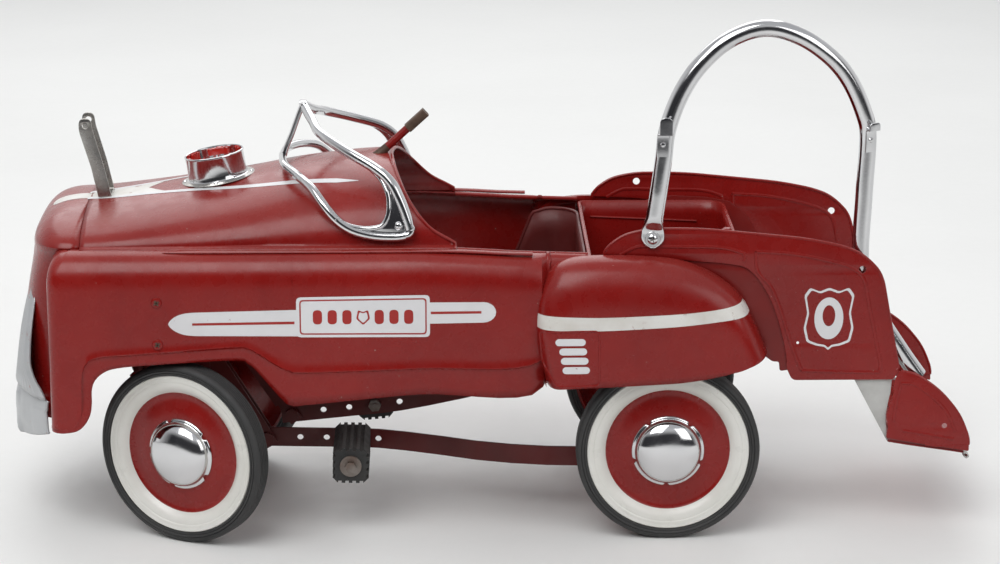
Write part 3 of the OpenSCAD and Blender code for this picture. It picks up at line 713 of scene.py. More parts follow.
def shoulder_shape(outer, inner, top):
    """Curve from the upright wall, over the shoulder, in to the crease."""
    out = []
    steps = 14
    for i in range(1, steps + 1):
        a = math.pi / 2 * i / steps
        share = 1 - math.cos(a) ** (2 / shoulder_n) if i < steps else 1
        p = outer.lerp(inner, share)
        out.append(Vector((p.x, p.y, top - shoulder_drop * (1 - math.sin(a) ** (2 / shoulder_n)))))
    return out


def side_column(bottom, line, depth, wall, crease, top):
    """One column of points: bottom edge, recessed band, pressed line, wall, shoulder.

    wall and crease are plan positions; bottom and line are (position, height)."""
    (bp, bz), (lp, lz) = bottom, line
    inward = (crease - wall).normalized()
    low = top - shoulder_drop
    column = []
    for t in (0, 0.3, 0.6, 0.86):
        p = bp.lerp(lp, t) + inward * depth
        column.append(Vector((p.x, p.y, lerp(bz, lz, t))))
    for rise, inset in ((-1.4, 0.8), (-0.4, 0.15), (0.8, -0.25), (2.0, 0)):
        share = 1 if depth > 0.5 else 0
        p = lp + inward * depth * inset * share
        column.append(Vector((p.x, p.y, lz + rise)))
    for t in (0.12, 0.3, 0.5, 0.7, 0.85, 1):
        p = lp.lerp(wall, t)
        column.append(Vector((p.x, p.y, lerp(lz + 2, low, t))))
    return column + shoulder_shape(wall, crease, top)


def make_side(side):
    """Body side with its front fender, the cockpit's rolled rim and the rib on the shelf."""
    sign = SIDES[side]
    bottoms = station_curve(lambda s: s[0])
    lines = station_curve(lambda s: s[1])
    tops = station_curve(lambda s: (s[2], s[3]))
    columns = []
    for b, l, t in zip(bottoms, lines, tops):
        top = smooth_lookup(t.x, rim_z)
        crease_x = min(t.x, lerp(t.x, 452, ease((t.x - 430) / 33)))
        columns.append(side_column(
            (Vector((b.x, side_reach(b.x))), b.y), (Vector((l.x, side_reach(l.x))), l.y),
            max(0, t.y), Vector((t.x, side_reach(t.x))), Vector((crease_x, crease_y)), top))
    plan = arc(corner_x, side_y - corner_r, corner_r, corner_r, 90, 0, 8)[1:]
    plan += [(nose_x, y) for y in (144, 136, 128)]
    plan += arc(nose_x - valley_r, valley_y, valley_r, valley_r, 0, -90, 6)
    for k, (x, y) in enumerate(plan):
        p = Vector((x, y))
        share = min(1, k / 12)
        crease = Vector((lerp(452, 459, share), lerp(crease_y, 122, ease(share))))
        if y < 122:
            crease = Vector((min(x - 4, 459), min(y, 122)))
        columns.append(side_column((p, 129), (p, 133), 0, p, crease, crease_z - 0.3))
    fixed("body_" + side, mirror(grid(columns), sign), "red_enamel", ["body_side_" + side],
          thick=sheet, out=(0, sign, 0.3))
    rim = [(c[-1].x, sign * (crease_y - 0.4), c[-1].z - 1.2) for c in columns if c[-1].x < 34]
    fixed("cockpit_rim_" + side, sweep(rim, ring(2.4, 2.4, 12)), "red_enamel")
    rib = [(352 - 402 * t / 12, sign * 144, 328 - 0.4 * (t == 0) - 4 * ease((t - 9) / 3))
           for t in range(13)]

    def rib_section(t):
        grown = math.sin(math.pi * min(1, t * 9) / 2)
        return ring(0.5 + 3 * grown, 0.3 + 1.7 * grown, 10)

    fixed("shelf_rib_" + side, sweep(spline(rib, 3), rib_section), "red_enamel")


# ---------- rear fenders ----------

# Edge from the front foot over the top to the rear foot, with how far it rounds over and the
# place on the bottom edge that this part of the surface runs down to.
fender_edge = [
    ((-66, 179), 18, (-84, 180)), ((-58, 205), 24, (-92, 180.3)), ((-53, 232), 30, (-100, 180.6)),
    ((-51.5, 259), 36, (-108, 181)), ((-54, 282), 46, (-116, 181.3)),
    ((-63, 300), 54, (-124, 181.6)), ((-79, 314.5), 58, (-133, 182)),
    ((-104, 320), 58, (-145, 182.5)), ((-135, 321), 57, (-162, 183.4)),
    ((-172, 320), 56, (-184, 184.6)), ((-208, 316), 54, (-208, 186)),
    ((-234, 307.5), 50, (-228, 188.5)), ((-256, 295), 44, (-244, 191.3)),
    ((-277, 277), 38, (-258, 194.4)), ((-290, 254), 33, (-269, 197.2)),
    ((-300, 232), 28, (-278, 199.6)), ((-308, 213), 22, (-286, 203))]


def fender_columns():
    """Points of the left fender, each column from its inner edge over to the bottom edge."""
    edges = spline([e[0] for e in fender_edge], 5)
    reach = spline([(e[1], 0) for e in fender_edge], 5)
    feet = spline([e[2] for e in fender_edge], 5)
    columns = []
    for edge, far, foot in zip(edges, reach, feet):
        across = foot - edge
        length = across.length
        ahead = across / length
        roll = min(far.x, 0.9 * length)
        column = [Vector((edge.x, fender_in, edge.y - 9)), Vector((edge.x, fender_in, edge.y - 3))]
        for i in range(15):
            a = math.pi / 2 * i / 14
            p = edge + ahead * roll * (1 - math.cos(a) ** (2 / 2.3) if i < 14 else 1)
            y = fender_in + (fender_y - fender_in) * math.sin(a) ** (2 / 2.3)
            column.append(Vector((p.x, y, p.y)))
        start = edge + ahead * roll
        for t in (0.15, 0.3, 0.45, 0.6, 0.75, 0.9, 1):
            p = start.lerp(foot, t)
            column.append(Vector((p.x, fender_y, p.y)))
        columns.append(column)
    return columns


def make_fender(side):
    """Rear fender with the pressed line of its step panel."""
    sign = SIDES[side]
    obj = fixed("fender_" + side, mirror(grid(fender_columns()), sign), "red_enamel",
                ["rear_fender_" + side], thick=sheet, out=(0, sign, 0))
    panel = rounded([(-57, 245), (-122, 246), (-122, 184), (-76, 183), (-60, 210)], 5)
    line = even(panel + panel[:1], 70)
    path = laid(([Vector((p.x, sign * 300, p.y)) for p in line], []), tree_of(obj),
                (0, -sign, 0), -0.2)[0]
    fixed("fender_line_" + side, sweep(path[:-1], ring(1.3, 0.9, 8), (0, 1, 0), True),
          "red_enamel")
    return obj


# ---------- rear side panels ----------

panel_top = [
    ((-127, 321), 2), ((-135, 332), 10), ((-151, 343), 14), ((-178, 349), 20), ((-233, 349), 30),
    ((-292, 343), 30), ((-350, 337), 24), ((-388, 329), 18), ((-407, 322), 12), ((-420, 312), 10),
    ((-431, 300), 10), ((-436, 287), 12), ((-442, 256), 18), ((-449, 221), 18), ((-456, 186), 3)]
panel_low = [
    ((-450, 176), 4), ((-338, 176), 5), ((-331, 190), 6), ((-331, 204), 8), ((-323, 239), 18),
    ((-312, 270), 18), ((-297, 294), 14), ((-284, 306), 8), ((-261, 310), 12), ((-223, 313), 16),
    ((-179, 319), 16)]
front_field = [(-146, 320), (-161, 328), (-173, 330), (-212, 329), (-256, 328), (-279, 322),
               (-282, 319), (-282, 312)]
rear_field = [(-295, 321), (-298, 323), (-338, 320), (-380, 311), (-402, 303), (-414, 291),
              (-420, 265), (-430, 219), (-435, 195), (-434, 187), (-427, 185), (-354, 187),
              (-347, 190), (-335, 220), (-323, 257), (-312, 283), (-297, 301)]
arch_liner = [(-170, 313), (-223, 322), (-262, 320), (-290, 315), (-312, 298), (-327, 270),
              (-338, 239), (-342, 204), (-338, 188), (-324, 186), (-323, 197), (-316, 197),
              (-305, 205), (-290, 240), (-262, 280), (-223, 300), (-170, 306)]
rail_hole_x = (LOW["rail_bolts"].x + HIGH["rail_bolts"].x) / 2
rail_hole_z = 339


def make_panel(side):
    """Rear side panel with its holes, pressed fields, rolled top edge and the arch's liner."""
    sign = SIDES[side]
    holes = [circle(rail_hole_x, rail_hole_z, 4), circle(-412, 302, 4),
             circle(-343, 219, 1.6, 12)]
    shape = [upright([outline(panel_top + panel_low)] + holes, panel_y - 1.5, panel_y)]
    for line, closed in ((front_field, False), (rear_field, True)):
        for y in (panel_y - 0.2, panel_y - 1.3):
            shape.append(bead(line, y, 2.0, 1.2, 6, closed))
    roll = even([p for p in outline(panel_top) if p.x < -128 and p.y > 187], 110)
    shape.append(sweep([(p.x, panel_y - 1.2, p.y) for p in roll], ring(1.7, 1.7, 10), (0, 1, 0)))
    fixed("panel_" + side, mirror(join(*shape), sign), "red_enamel", ["side_panel_" + side])
    # The liner's darker red is painted shade for the inside of the arch.
    liner = upright([rounded(arch_liner, 3)], panel_y - 3.2, panel_y - 1.9)
    fixed("arch_liner_" + side, mirror(liner, sign), "red_enamel", look=RED_IN_PAINTED_SHADE)


# ---------- seat, tub and deck ----------

def make_seat():
    """One wrapped sheet: pan, back and the two curved wings."""
    half = HIGH["seat"].y
    back_x, front_x = LOW["seat"].x + 1.5, HIGH["seat"].x
    pan_z, top_z = LOW["seat"].z + 3, HIGH["seat"].z
    corner = 34
    plan = [(front_x - 10, half)] + [(x, half) for x in (0, -20, -40, -58)]
    plan += arc(back_x + corner, half - corner, corner, corner, 90, 180, 10)
    plan += [(back_x, y) for y in (60, 30)]
    plan += [(x, -y) for x, y in [(back_x, 0)] + plan[::-1]]

    def wall_top(x):
        return lookup(x, [(-111, top_z - 1), (-70, top_z - 2), (-56, 304), (-46, 288), (-38, 250),
                          (-20, 218), (10, 203), (30, 196)])

    columns = []
    for x, y in plan:
        top = wall_top(x)
        column = [Vector((lerp(x, -45, s), lerp(y, 0, s), pan_z + h))
                  for s, h in ((0.16, 0), (0.05, 1))]
        column += [Vector((x, y, pan_z + h)) for h in (5, 11)]
        column += [Vector((x, y, lerp(pan_z + 11, top, t))) for t in (0.25, 0.5, 0.75, 1)]
        columns.append(column)
    pan = rounded([(front_x - 1, half - 3), (front_x - 1, 3 - half), (back_x + 4, 3 - half),
                   (back_x + 4, half - 3)], [16, 16, 28, 28])
    floor = moved(flat_shape([pan], 2, 0.6), lambda p: (p.x, p.y, pan_z + 0.6))
    rim = [c[-1] for c in columns]
    fixed("seat_shell", join(grid(columns), floor), "dark_red_paint", ["seat"], thick=1.2,
          out=(0, 0, 1))
    fixed("seat_rim", sweep(even(rim, 120), ring(2, 2, 10)), "dark_red_paint")


def make_tub():
    """Open box behind the seat, with rounded corners, a rolled rim and a rib on each wall."""
    lo, hi = LOW["rear_tub"], HIGH["rear_tub"]
    plan = rounded([(lo.x, lo.y), (hi.x, lo.y), (hi.x, hi.y), (lo.x, hi.y)], [26, 8, 8, 26], 7)
    centre = Vector(((lo.x + hi.x) / 2, 0))

    def level(inset, z):
        row = []
        for p in plan:
            toward = centre - p
            row.append(Vector((p.x + inset * toward.x / abs(toward.x or 1),
                               p.y + inset * toward.y / max(1, abs(toward.y)), z)))
        return row

    rows = [level(0.8, hi.z), level(0.8, 300), level(1.2, 250), level(1.6, lo.z + 14),
            level(4, lo.z + 6), level(9, lo.z + 2.5), level(24, lo.z + 1.6)]
    floor = [Vector((p.x, p.y, lo.z + 1.6)) for p in rows[-1]]
    shape = join(grid(rows, wrap=True), (floor, [tuple(range(len(floor)))]))
    fixed("tub", shape, "red_enamel", ["rear_tub"], thick=1.2)
    fixed("tub_rim", sweep([(p.x, p.y, hi.z - 2) for p in plan], ring(1.9, 1.9, 10), closed=True),
          "red_enamel")
    for side, sign in SIDES.items():
        rib = [(lo.x + 30, sign * (hi.y - 2.4), 292), (hi.x - 14, sign * (hi.y - 2.4), 298)]
        fixed("tub_rib_" + side, sweep(rib, ring(1.8, 1.2, 10)), "red_enamel")


# ---------- step ----------

step_edge = [((-456, 186), 3), ((-474, 183), 12), ((-502, 164), 16), ((-526, 135), 16),
             ((-537, 107), 8), ((-537.4, 92), 2), ((-494, 99), 6), ((-444, 108), 3),
             ((-446, 120), 1), ((-444, 134), 2), ((-448, 150), 2), ((-451, 160), 1),
             ((-451, 172), 2)]


def make_step():
    """Folding-style step: two sides, a ribbed tread with curled ends and the worn riser."""
    y0, y1 = LOW["step_side_left"].y, HIGH["step_side_left"].y
    edge = outline(step_edge)
    field = [(-459, 172), (-474, 170), (-495, 155), (-511, 138), (-521, 116)]
    front = [(-459, 172), (-454, 150), (-452, 128)]
    foot = [(-462, 117), (-490, 112), (-520, 106.5)]
    hook = [(-532, 90), (-536, 88.4), (-537.4, 85.6), (-535.6, 83.6), (-533, 85)]
    roll = even([p for p in edge if p.x < -458 and p.y > 94], 60)
    for side, sign in SIDES.items():
        shape = [upright([edge, circle(-509, 122, 3)], y0, y1)]
        shape += [bead(line, y1 - 0.2, 1.8, 1.0) for line in (field, front, foot)]
        shape.append(sweep([(p.x, y1 - 1.2, p.y) for p in roll], ring(1.5, 1.5, 8), (0, 1, 0)))
        fixed("step_side_shell_" + side, mirror(join(*shape), sign), "red_enamel",
              ["step_side_" + side])
        curl = sweep([(x, (y1 - 8) * sign, z) for x, z in spline(hook, 4)], ring(7, 0.9, 12, 4))
        fixed("tread_hook_" + side, curl, "bare_primer")
    half = HIGH["step_tread"].y - 0.5
    line = [(-447, 104), (-470, 100), (-500, 95.4), (-528, 91), (-534.5, 89.6), (-537, 87.4),
            (-536, 85.2)]
    rows = [[Vector((p.x, lerp(-half, half, k / 20), p.y)) for p in spline(line, 4)]
            for k in range(21)]
    ribs = []
    for k in range(6):
        x, z = -456 - 13 * k, 103.3 - 2.1 * k
        ribs.append(sweep([(x, 14 - half, z), (x, half - 14, z)], ring(2.2, 1.2, 10)))
    fixed("tread", grid(rows), "red_enamel", ["step_tread"], thick=1.3, out=(0, 0, 1))
    fixed("tread_ribs", join(*ribs), "red_enamel")
    lo, hi = LOW["step_riser"], HIGH["step_riser"]
    rows = []
    for k in range(25):
        y = lerp(lo.y + 0.6, hi.y - 0.6, k / 24)
        wave = 0.6 * math.sin(y * 0.11)
        rows.append([Vector((lerp(hi.x - 1, lo.x + 1.2, t) + wave * math.sin(math.pi * t), y,
                             lerp(hi.z, lo.z, t))) for t in [i / 10 for i in range(11)]])
    fixed("riser_panel", grid(rows), "bare_primer", ["step_riser"], thick=1.2, out=(1, 0, 0))
    flange = [(hi.x, hi.z), (lo.x + 1.4, lo.z), (-444.5, 118), (-443.5, 134), (-446, 150),
              (-448, 160), (-449, 172), (-450, hi.z)]
    flange = upright([flange], hi.y - 1.8, hi.y - 0.8)
    for side, sign in SIDES.items():
        fixed("riser_flange_" + side, mirror(flange, sign), "bare_primer")


# ---------- chrome fittings ----------

shield_top = [(203, 0, 461), (192, 30, 449), (182, 60, 441), (154, 90, 428), (122, 112, 414),
              (104, 122, 400), (94, 128, 382), (87, 131.5, 364), (83, 133, 350)]
shield_low = [(227, 0, 402), (223, 44, 402), (209, 78, 399), (192, 105, 391), (178, 122, 376),
              (164, 129.5, 361), (147, 133, 349.5), (124, 134, 343), (100, 134, 341.5),
              (88, 134, 343)]


def foot_lean(z):
    """Distance of the windshield's foot from the centreline; its upper part leans in."""
    return lookup(z, [(343, 133.6), (356, 132.8), (372, 130), (390, 124.5), (405, 116), (416, 108)])


def make_windshield():
    """Cast frame: a flat centre post, and on each side an upper and a lower rail that meet
    in a foot with a recessed plate."""
    shapes = []
    for sign in SIDES.values():
        top = spline([(x, y * sign, z) for x, y, z in shield_top], 6)
        low = spline([(x, y * sign, z) for x, y, z in shield_low], 6)
        shapes.append(sweep(top, lambda t: ring(4.6 + 1.2 * ease(t * 1.5), 5.4, 18, 2.4)))
        shapes.append(sweep(low, lambda t: ring(4.2 + 1.0 * ease(t * 1.5), 4.8, 18, 2.4)))
        knuckle = spline([(92, 134 * sign, 342.5), (84, 134 * sign, 344.5),
                          (81.5, 133.4 * sign, 350), (84, 133 * sign, 355)], 5)
        shapes.append(sweep(knuckle, ring(4.8, 4.3, 14)))
        inner = [(164, 362), (152, 355), (139, 351.5), (126, 351), (114, 354), (107.5, 364),
                 (106, 379), (109, 393), (117, 405), (130, 416)]
        band = [(x, sign * foot_lean(z), z) for x, z in spline(inner, 5)]
        shapes.append(sweep(band, ring(3.0, 3.2, 14), (0, 1, 0)))
        web = [(p.x, p.y) for p in spline(inner, 4)]
        web += [(106, 403), (95, 384), (88, 366), (84, 350), (88, 343.5), (100, 341.5),
                (124, 343), (146, 350)]
        web = moved(upright([web], -1, 1, 0.3), lambda p: (p.x, p.y + foot_lean(p.z) - 1.6, p.z))
        shapes.append(mirror(web, sign))
    post = [(202.5, 0, 464), (208, 0, 450), (216, 0, 428), (223, 0, 412), (226, 0, 400)]
    shapes.append(sweep(post, ring(5.5, 3.1, 16, 4), (1, 0, 0.3)))
    shapes.append(sweep([(203, -7, 463), (203, 0, 464.5), (203, 7, 463)], ring(4.2, 2.2, 12, 3)))
    fixed("windshield", join(*shapes), "chrome", ["windshield_frame"])
    head = lathe([(0.01, 2.6), (2, 2.4), (3.6, 1.6), (4.6, 0.4), (4.8, -1), (0.01, -1)], 28)
    head = join(head, *cross_bars(3, 0.4, 0.8, 0.1, 2.4))
    for side, sign in SIDES.items():
        spot = facing_out(95.4, 134.5 * sign, 353.8, sign)
        fixed("foot_screw_" + side, moved(head, spot), "chrome",
              ["windshield_screws"] if side == "left" else ())


def make_bell_bracket():
    """Base plate with two leaning cheeks, each with the bore of the bell's pivot."""
    lo, hi = LOW["bell_bracket"], HIGH["bell_bracket"]
    x0 = lo.x
    edge = outline([((x0, lo.z), 1), ((x0 + 15, lo.z), 1), ((x0 + 22.1, lo.z + 34.4), 2),
                    ((hi.x, lo.z + 77), 7), ((hi.x - 1.2, hi.z + 0.2), 7), ((hi.x - 14, hi.z), 7),
                    ((x0 + 19, lo.z + 76), 4), ((x0 + 7.9, lo.z + 36), 2)], 7)
    hole = circle(x0 + 27, hi.z - 8, 3.5)
    shapes = []
    for sign in SIDES.values():
        shapes.append(mirror(upright([edge, hole], hi.y - 2.4, hi.y, 0.5), sign))
        shapes.append(sweep([(x0 + 0.6, sign * (hi.y - 2), lo.z + 1.6),
                             (x0 + 14.4, sign * (hi.y - 2), lo.z + 1.6)], ring(1.9, 1.9, 12)))
    base = rounded(oblong(x0, 1.5 - hi.y, x0 + 15, hi.y - 1.5), 1)
    shapes.append(moved(flat_shape([base, circle(x0 + 7.5, 0, 3)], 2.4, 0.5),
                        lambda p: (p.x, p.y, p.z + lo.z + 1.3)))
    fixed("bell_yoke", join(*shapes), "chrome", ["bell_bracket"], look=WORN_CHROME)


def make_beacon():
    """Chrome ring with a flange and a spun lip, a reflector inside and the broken lens."""
    place = Matrix.Translation((299.5, 0, 377.6)) @ Matrix.Rotation(math.radians(9.3), 4, "Y")
    shell = [(0.01, 2), (24, 2.2), (29, 3.4), (31.2, 7), (31.4, 27), (31.7, 29.4), (32.5, 30),
             (33.5, 29.6), (33.7, 28.6), (33, 27.4), (32.9, 8), (33.1, 4.6), (33.8, 3), (35, 2.2)]
    fixed("beacon_ring", moved(lathe(shell, 96), place), "chrome", ["beacon_base"])
    flange = [(34.6, 2.4), (38, 1.9), (41, 1.5), (41.5, 0.9), (41.2, 0.2), (30, 0.2), (30, 2.0)]
    flange.append(flange[0])
    fixed("beacon_flange", moved(lathe(flange, 96), place), "bare_primer", look=WORN_CHROME)
    dome = lathe([(0.01, 1.7), (1.6, 1.3), (2.4, 0.4), (2.6, -0.6)], 16)
    rivets = [moved(dome, place @ Matrix.Translation((x, y, 1.8)))
              for x, y in ((0, -38), (0, 38), (38, 0), (-38, 0))]
    fixed("beacon_rivets", join(*rivets), "chrome")
    shards = []
    # Start and width in degrees, and height above the ring.
    for start, width, tall in ((8, 26, 3.2), (62, 16, 5), (88, 14, 4.4), (128, 40, 2.6),
                               (196, 22, 4.2), (240, 50, 2.4), (310, 24, 3.4)):
        rows = []
        for k in range(13):
            a = math.radians(start + width * k / 12)
            jag = 0.55 + 0.45 * math.sin(k * 2.3 + start) * math.cos(k * 1.1)
            top = 27 + tall * jag * math.sin(math.pi * (k + 0.6) / 13.2) ** 0.4
            rows.append([(r * math.cos(a), r * math.sin(a), z) for r, z in
                         ((31.0, 20), (31.0, 27), (30.3, lerp(27, top, 0.6)), (29.2, top),
                          (27.8, top - 0.5), (28.4, 27), (28.6, 20))])
        points, faces = grid(rows, wrap=True)
        faces += [tuple(range(7)), tuple(12 * 7 + k for k in range(7))]
        shards.append((points, faces))
    fixed("lens_shards", moved(join(*shards), place), "red_lens", ["beacon_lens_shards"],
          angle=20)


# The grab rail's centre line: X, distance outward from rail_y, and Z.
rail_y = panel_y + 2.5
rail_points = [(-181, 1, 352), (-185.5, 3, 382), (-191.4, 3, 427), (-195.2, 2, 460),
               (-208.6, 0, 498), (-230, -2, 531), (-261, -4, 558), (-299, -6, 570),
               (-336, -7, 561), (-369, -9, 539), (-392, -12, 512), (-409, -14, 476),
               (-415, -16, 448), (-413, -17, 381), (-412, -17, 302), (-430, -17, 252),
               (-456, -17, 210), (-480, -17, 176)]


def make_grab_rail():
    """Bent tube whose front foot is flattened round the bolt."""
    radius = 9.5
    foot_wide, foot_end = 12.4, 12        # half width of the foot, and where its round end stops
    path = even(spline([(x, rail_y + y, z) for x, y, z in rail_points], 8), 170)
    foot = [(-181.5, rail_y, 329), (-181.3, rail_y, 338), (-181.2, rail_y, 346),
            (-181.6, rail_y + 0.6, 353), (-182.6, rail_y + 1.6, 361)]
    whole = even(even(spline(foot, 5), 22) + path[9:], 300)
    total = sum((b - a).length for a, b in zip(whole, whole[1:]))

    def section(t):
        along = t * total
        flat = 1 - ease((along - 17) / 20)
        if along < foot_end:
            round_end = 1 - ((foot_end - along) / foot_wide) ** 2
            wide = foot_wide * math.sqrt(max(0.02, round_end))
        else:
            wide = lerp(foot_wide, 11.4, ease((along - foot_end) / 14))
        return ring(lerp(radius, wide, flat), lerp(radius, 1.9, flat), 28, lerp(2, 4, flat))

    fixed("rail_tube", sweep(whole, section, (0, 1, 0)), "chrome", ["grab_rail"])


def make_rail_bolt():
    """Bolt through the rail's foot and the panel, with a washer and a nut inside."""
    y = rail_y + 1.9
    head = lathe([(0.01, 3.4), (3, 3.1), (5, 2), (6.2, 0.6), (6.4, -0.4), (0.01, -0.4)], 32)
    washer = lathe([(3, 1), (8.2, 1), (8.6, 0.5), (8.4, 0), (3, 0)], 36)
    shank = lathe([(0.01, 0), (3.7, 0), (3.7, -12), (0.01, -12)], 24)
    nut = moved(flat_shape([circle(0, 0, 7, 6)], 4.6, 0.5),
                Matrix.Translation((0, 0, -(y - panel_y) - 4)))
    place = facing_out(rail_hole_x, y, rail_hole_z)
    fixed("rail_bolt", moved(join(head, washer, shank, nut), place), "chrome", ["rail_bolts"])
    cross = join(*cross_bars(4, 0.5, 1, 0.15, 3.1, 0.4))
    fixed("rail_bolt_cross", moved(cross, place), "axle_steel")


def make_ladder_hooks():
    """Riveted straps bent out into a ledge with a rounded tab standing on it."""
    for name, spot, turn, top, shift in (("front", (-189.8, rail_y + 3, 446), 0, 32, -3),
                                         ("rear", (-411, rail_y - 15, 446), 30, 21, 0)):
        line = [(10.4, -12.5), (10.6, -6), (10.6, 8), (11.2, 11.4), (13, 12.4), (17, 12.4)]
        curl = [(0, p.x, p.y) for p in spline(line, 4)]
        strap = sweep(curl, ring(1.0, 6.4, 16, 6), (1, 0, 0))
        tab = rounded(oblong(shift - 7, 12, shift + 7, top), [0.5, 0.5, 7, 7], 8)
        tab = moved(flat_shape([tab], 1.8, 0.5), lambda p: (p.x, 18 - p.z, p.y))
        rivet = moved(lathe([(0.01, 2), (2, 1.5), (3, 0.3), (3.1, -1)], 18),
                      facing_out(0, 11.6, 1))
        place = Matrix.Translation(spot) @ Matrix.Rotation(math.radians(turn), 4, "Z")
        fixed("ladder_hook_" + name, moved(join(strap, tab, rivet), place), "chrome",
              ["ladder_hooks"] if name == "front" else ())


def make_fender_screws():
    """Two painted screws on each side, with a dark cross where the paint has gone."""
    lo, hi = LOW["fender_screws"], HIGH["fender_screws"]
    head = lathe([(0.01, 0.8), (1.6, 1.4), (3.6, 2.0), (5.2, 1.6), (6, 0.3), (6.1, -0.6),
                  (0.01, -0.6)], 32)
    cross = join(*cross_bars(3.2, 0.9, 2.2, 0.1, 1.2, 0.6))
    nodes = ["fender_screws"]
    for side, sign in SIDES.items():
        for z in (lo.z + 5, hi.z - 5):
            place = facing_out((lo.x + hi.x) / 2, side_y * sign, z, sign)
            name = "_%s_%d" % (side, round(z))
            fixed("screw" + name, moved(head, place), "red_enamel", nodes)
            fixed("screw_cross" + name, moved(cross, place), "axle_steel", look=BARE_TIP)
            nodes = ()


# ---------- wheels ----------

def wheel_place(corner):
    """Matrix that puts a wheel drawn around Z, outward along +Z, at its corner."""
    lo, hi = LOW["tyre_" + corner], HIGH["tyre_" + corner]
    sign = 1 if corner.endswith("left") else -1
    axis = Vector((0, sign, 0))
    for joint in frame["joints"]:
        if joint["name"] == "wheel_" + corner + "_spin" and corner.startswith("front"):
            axis = Vector(joint["axis"]).normalized() * sign
    return Matrix.Translation((lo + hi) / 2) @ axis.to_track_quat("Z", "Y").to_matrix().to_4x4()


def tyre_profile(rim, top, half):
    """Solid rubber tyre: two steps on each flank and grooves round the tread."""
    flank = [(rim + 0.1, half - 2.5), (rim + 0.6, half - 1), (rim + 2.4, half - 0.6),
             (rim + 2.9, half - 1.3), (rim + 3.5, half - 0.5), (rim + 5.4, half - 0.1),
             (rim + 5.9, half - 0.9), (rim + 6.5, half), (top - 4.2, half - 0.2),
             (top - 2.2, half - 1.2), (top - 0.9, half - 3)]
    tread = []
    ribs = 6
    edge = half - 4.2
    for k in range(ribs):
        z0, z1 = lerp(edge, -edge, k / ribs), lerp(edge, -edge, (k + 1) / ribs)
        tread += [(top, z0 - 0.25), (top, lerp(z0, z1, 0.62)), (top - 1.3, lerp(z0, z1, 0.72)),
                  (top - 1.3, lerp(z0, z1, 0.9))]
    return flank + tread[:-2] + [(r, -z) for r, z in flank[::-1]]


rim, tread_r, tyre_half = 89.7, 101.5, 13.5       # the tyre's inner and outer radius, half width
whitewall = [(rim, 8.4), (89.5, 11.2), (88.6, 12), (87.4, 11.6), (86.4, 11.2), (84, 11.5),
             (82.4, 11.4), (81.6, 10.8), (80.4, 10.9), (77, 10.4), (73.6, 8.8), (70.6, 6.4),
             (68.9, 4.6)]
wheel_dish = [(68.9, 4.6), (67.4, 3.6), (64.5, 2.8), (61, 3), (56, 4.3), (50, 6.1), (44, 7.2),
              (38, 7.8), (13, 8), (6.4, 8)]
wheel_back = [(6.4, 6.6), (13, 6.6), (38, 6.4), (50, 4.7), (61, 1.6), (67.5, 2), (70.8, 4.6),
              (74, 7.2), (80, 9.2), (85, 9.9), (85.6, 6), (85.8, -8), (87, -9.8), (rim, -10.4),
              (rim, 8.4)]
wheel_boss = [(13.2, 5.5), (13.2, -8.4), (12.4, -9), (6.4, -9), (6.4, 5.5)]
hub_cover = [(34, 8.4), (37.2, 8.2), (39.8, 8.2), (40.1, 8.9), (39.6, 9.8), (38, 10.4),
             (37.2, 10.6), (36.6, 11.4), (36, 13), (35.4, 14.2), (34.6, 15.8), (32.6, 18),
             (29, 20.6), (24, 22.9), (18, 24.6), (11, 25.6), (5, 26), (0.01, 26.1)]
first_slit = {"front_left": 1.9, "rear_left": 0.9}


def make_wheels():
    """Ribbed tyre, whitewall ring, dish, back, boss and slotted hub cover at each corner."""
    for corner in ("front_left", "front_right", "rear_left", "rear_right"):
        body = "rear_axle" if corner == "rear_left" else "wheel_" + corner
        place = wheel_place(corner)

        def turned(name, profile, segments, slot, nodes=(), angle=40, trim=None, thick=0,
                   corner=corner, body=body, place=place):
            shape = moved(lathe(profile, segments, trim), place)
            piece(name + "_" + corner, shape, body, slot, nodes, thick=thick, angle=angle)

        def slit(a, r, start=first_slit.get(corner, 0.3)):
            turn = (a - start) / (2 * math.pi / 5)
            away = abs(turn - round(turn)) * 2 * math.pi / 5
            return min(r, 37.2) if away < 0.075 else r

        tyre = tyre_profile(rim, tread_r, tyre_half)
        turned("tyre_ribbed", tyre + tyre[:1], 128, "tyre_rubber", ["tyre_" + corner], 50)
        turned("wheel_ring", whitewall, 128, "whitewall_steel", ["wheel_" + corner])
        turned("wheel_dish", wheel_dish, 128, "red_enamel")
        turned("wheel_back", wheel_back, 96, "red_enamel")
        turned("wheel_boss", wheel_boss, 48, "red_enamel")
        turned("hub_cover", hub_cover, 160, "chrome", ["hubcap_" + corner], 50, slit, 0.7)


# ---------- paint ----------

spear_tip = [(346, 253), (343.5, 257.2), (337, 262), (328, 265), (318, 266)]
spear_tip_low = [(346, 253), (344, 249.5), (338, 244.6), (329, 241), (318, 239.6)]
stripe_top = [(-52.5, 263), (-80, 262), (-123, 261), (-170, 262.5), (-215, 265), (-260, 270),
              (-291, 275)]
stripe_low = [(-53, 247.5), (-80, 246.4), (-123, 246), (-170, 248), (-215, 251), (-260, 256.5),
              (-299, 261)]
# Outline of the badge in shares of its width and height.
badge_loop = [(-0.46, 0.38), (-0.36, 0.5), (-0.18, 0.44), (0, 0.5), (0.18, 0.44), (0.36, 0.5),
              (0.46, 0.38), (0.4, 0.1), (0.46, -0.14), (0.4, -0.36), (0.22, -0.42),
              (0.06, -0.44), (0, -0.5), (-0.06, -0.44), (-0.22, -0.42), (-0.4, -0.36),
              (-0.46, -0.14), (-0.4, 0.1)]
badge_x, badge_z = -376.5, 246
pinstripe = [(446, 14), (411, 20.7), (372, 26.2), (326, 37), (292, 46.5), (240, 59.2),
             (208, 65.4), (150, 76), (140, 77.5)]


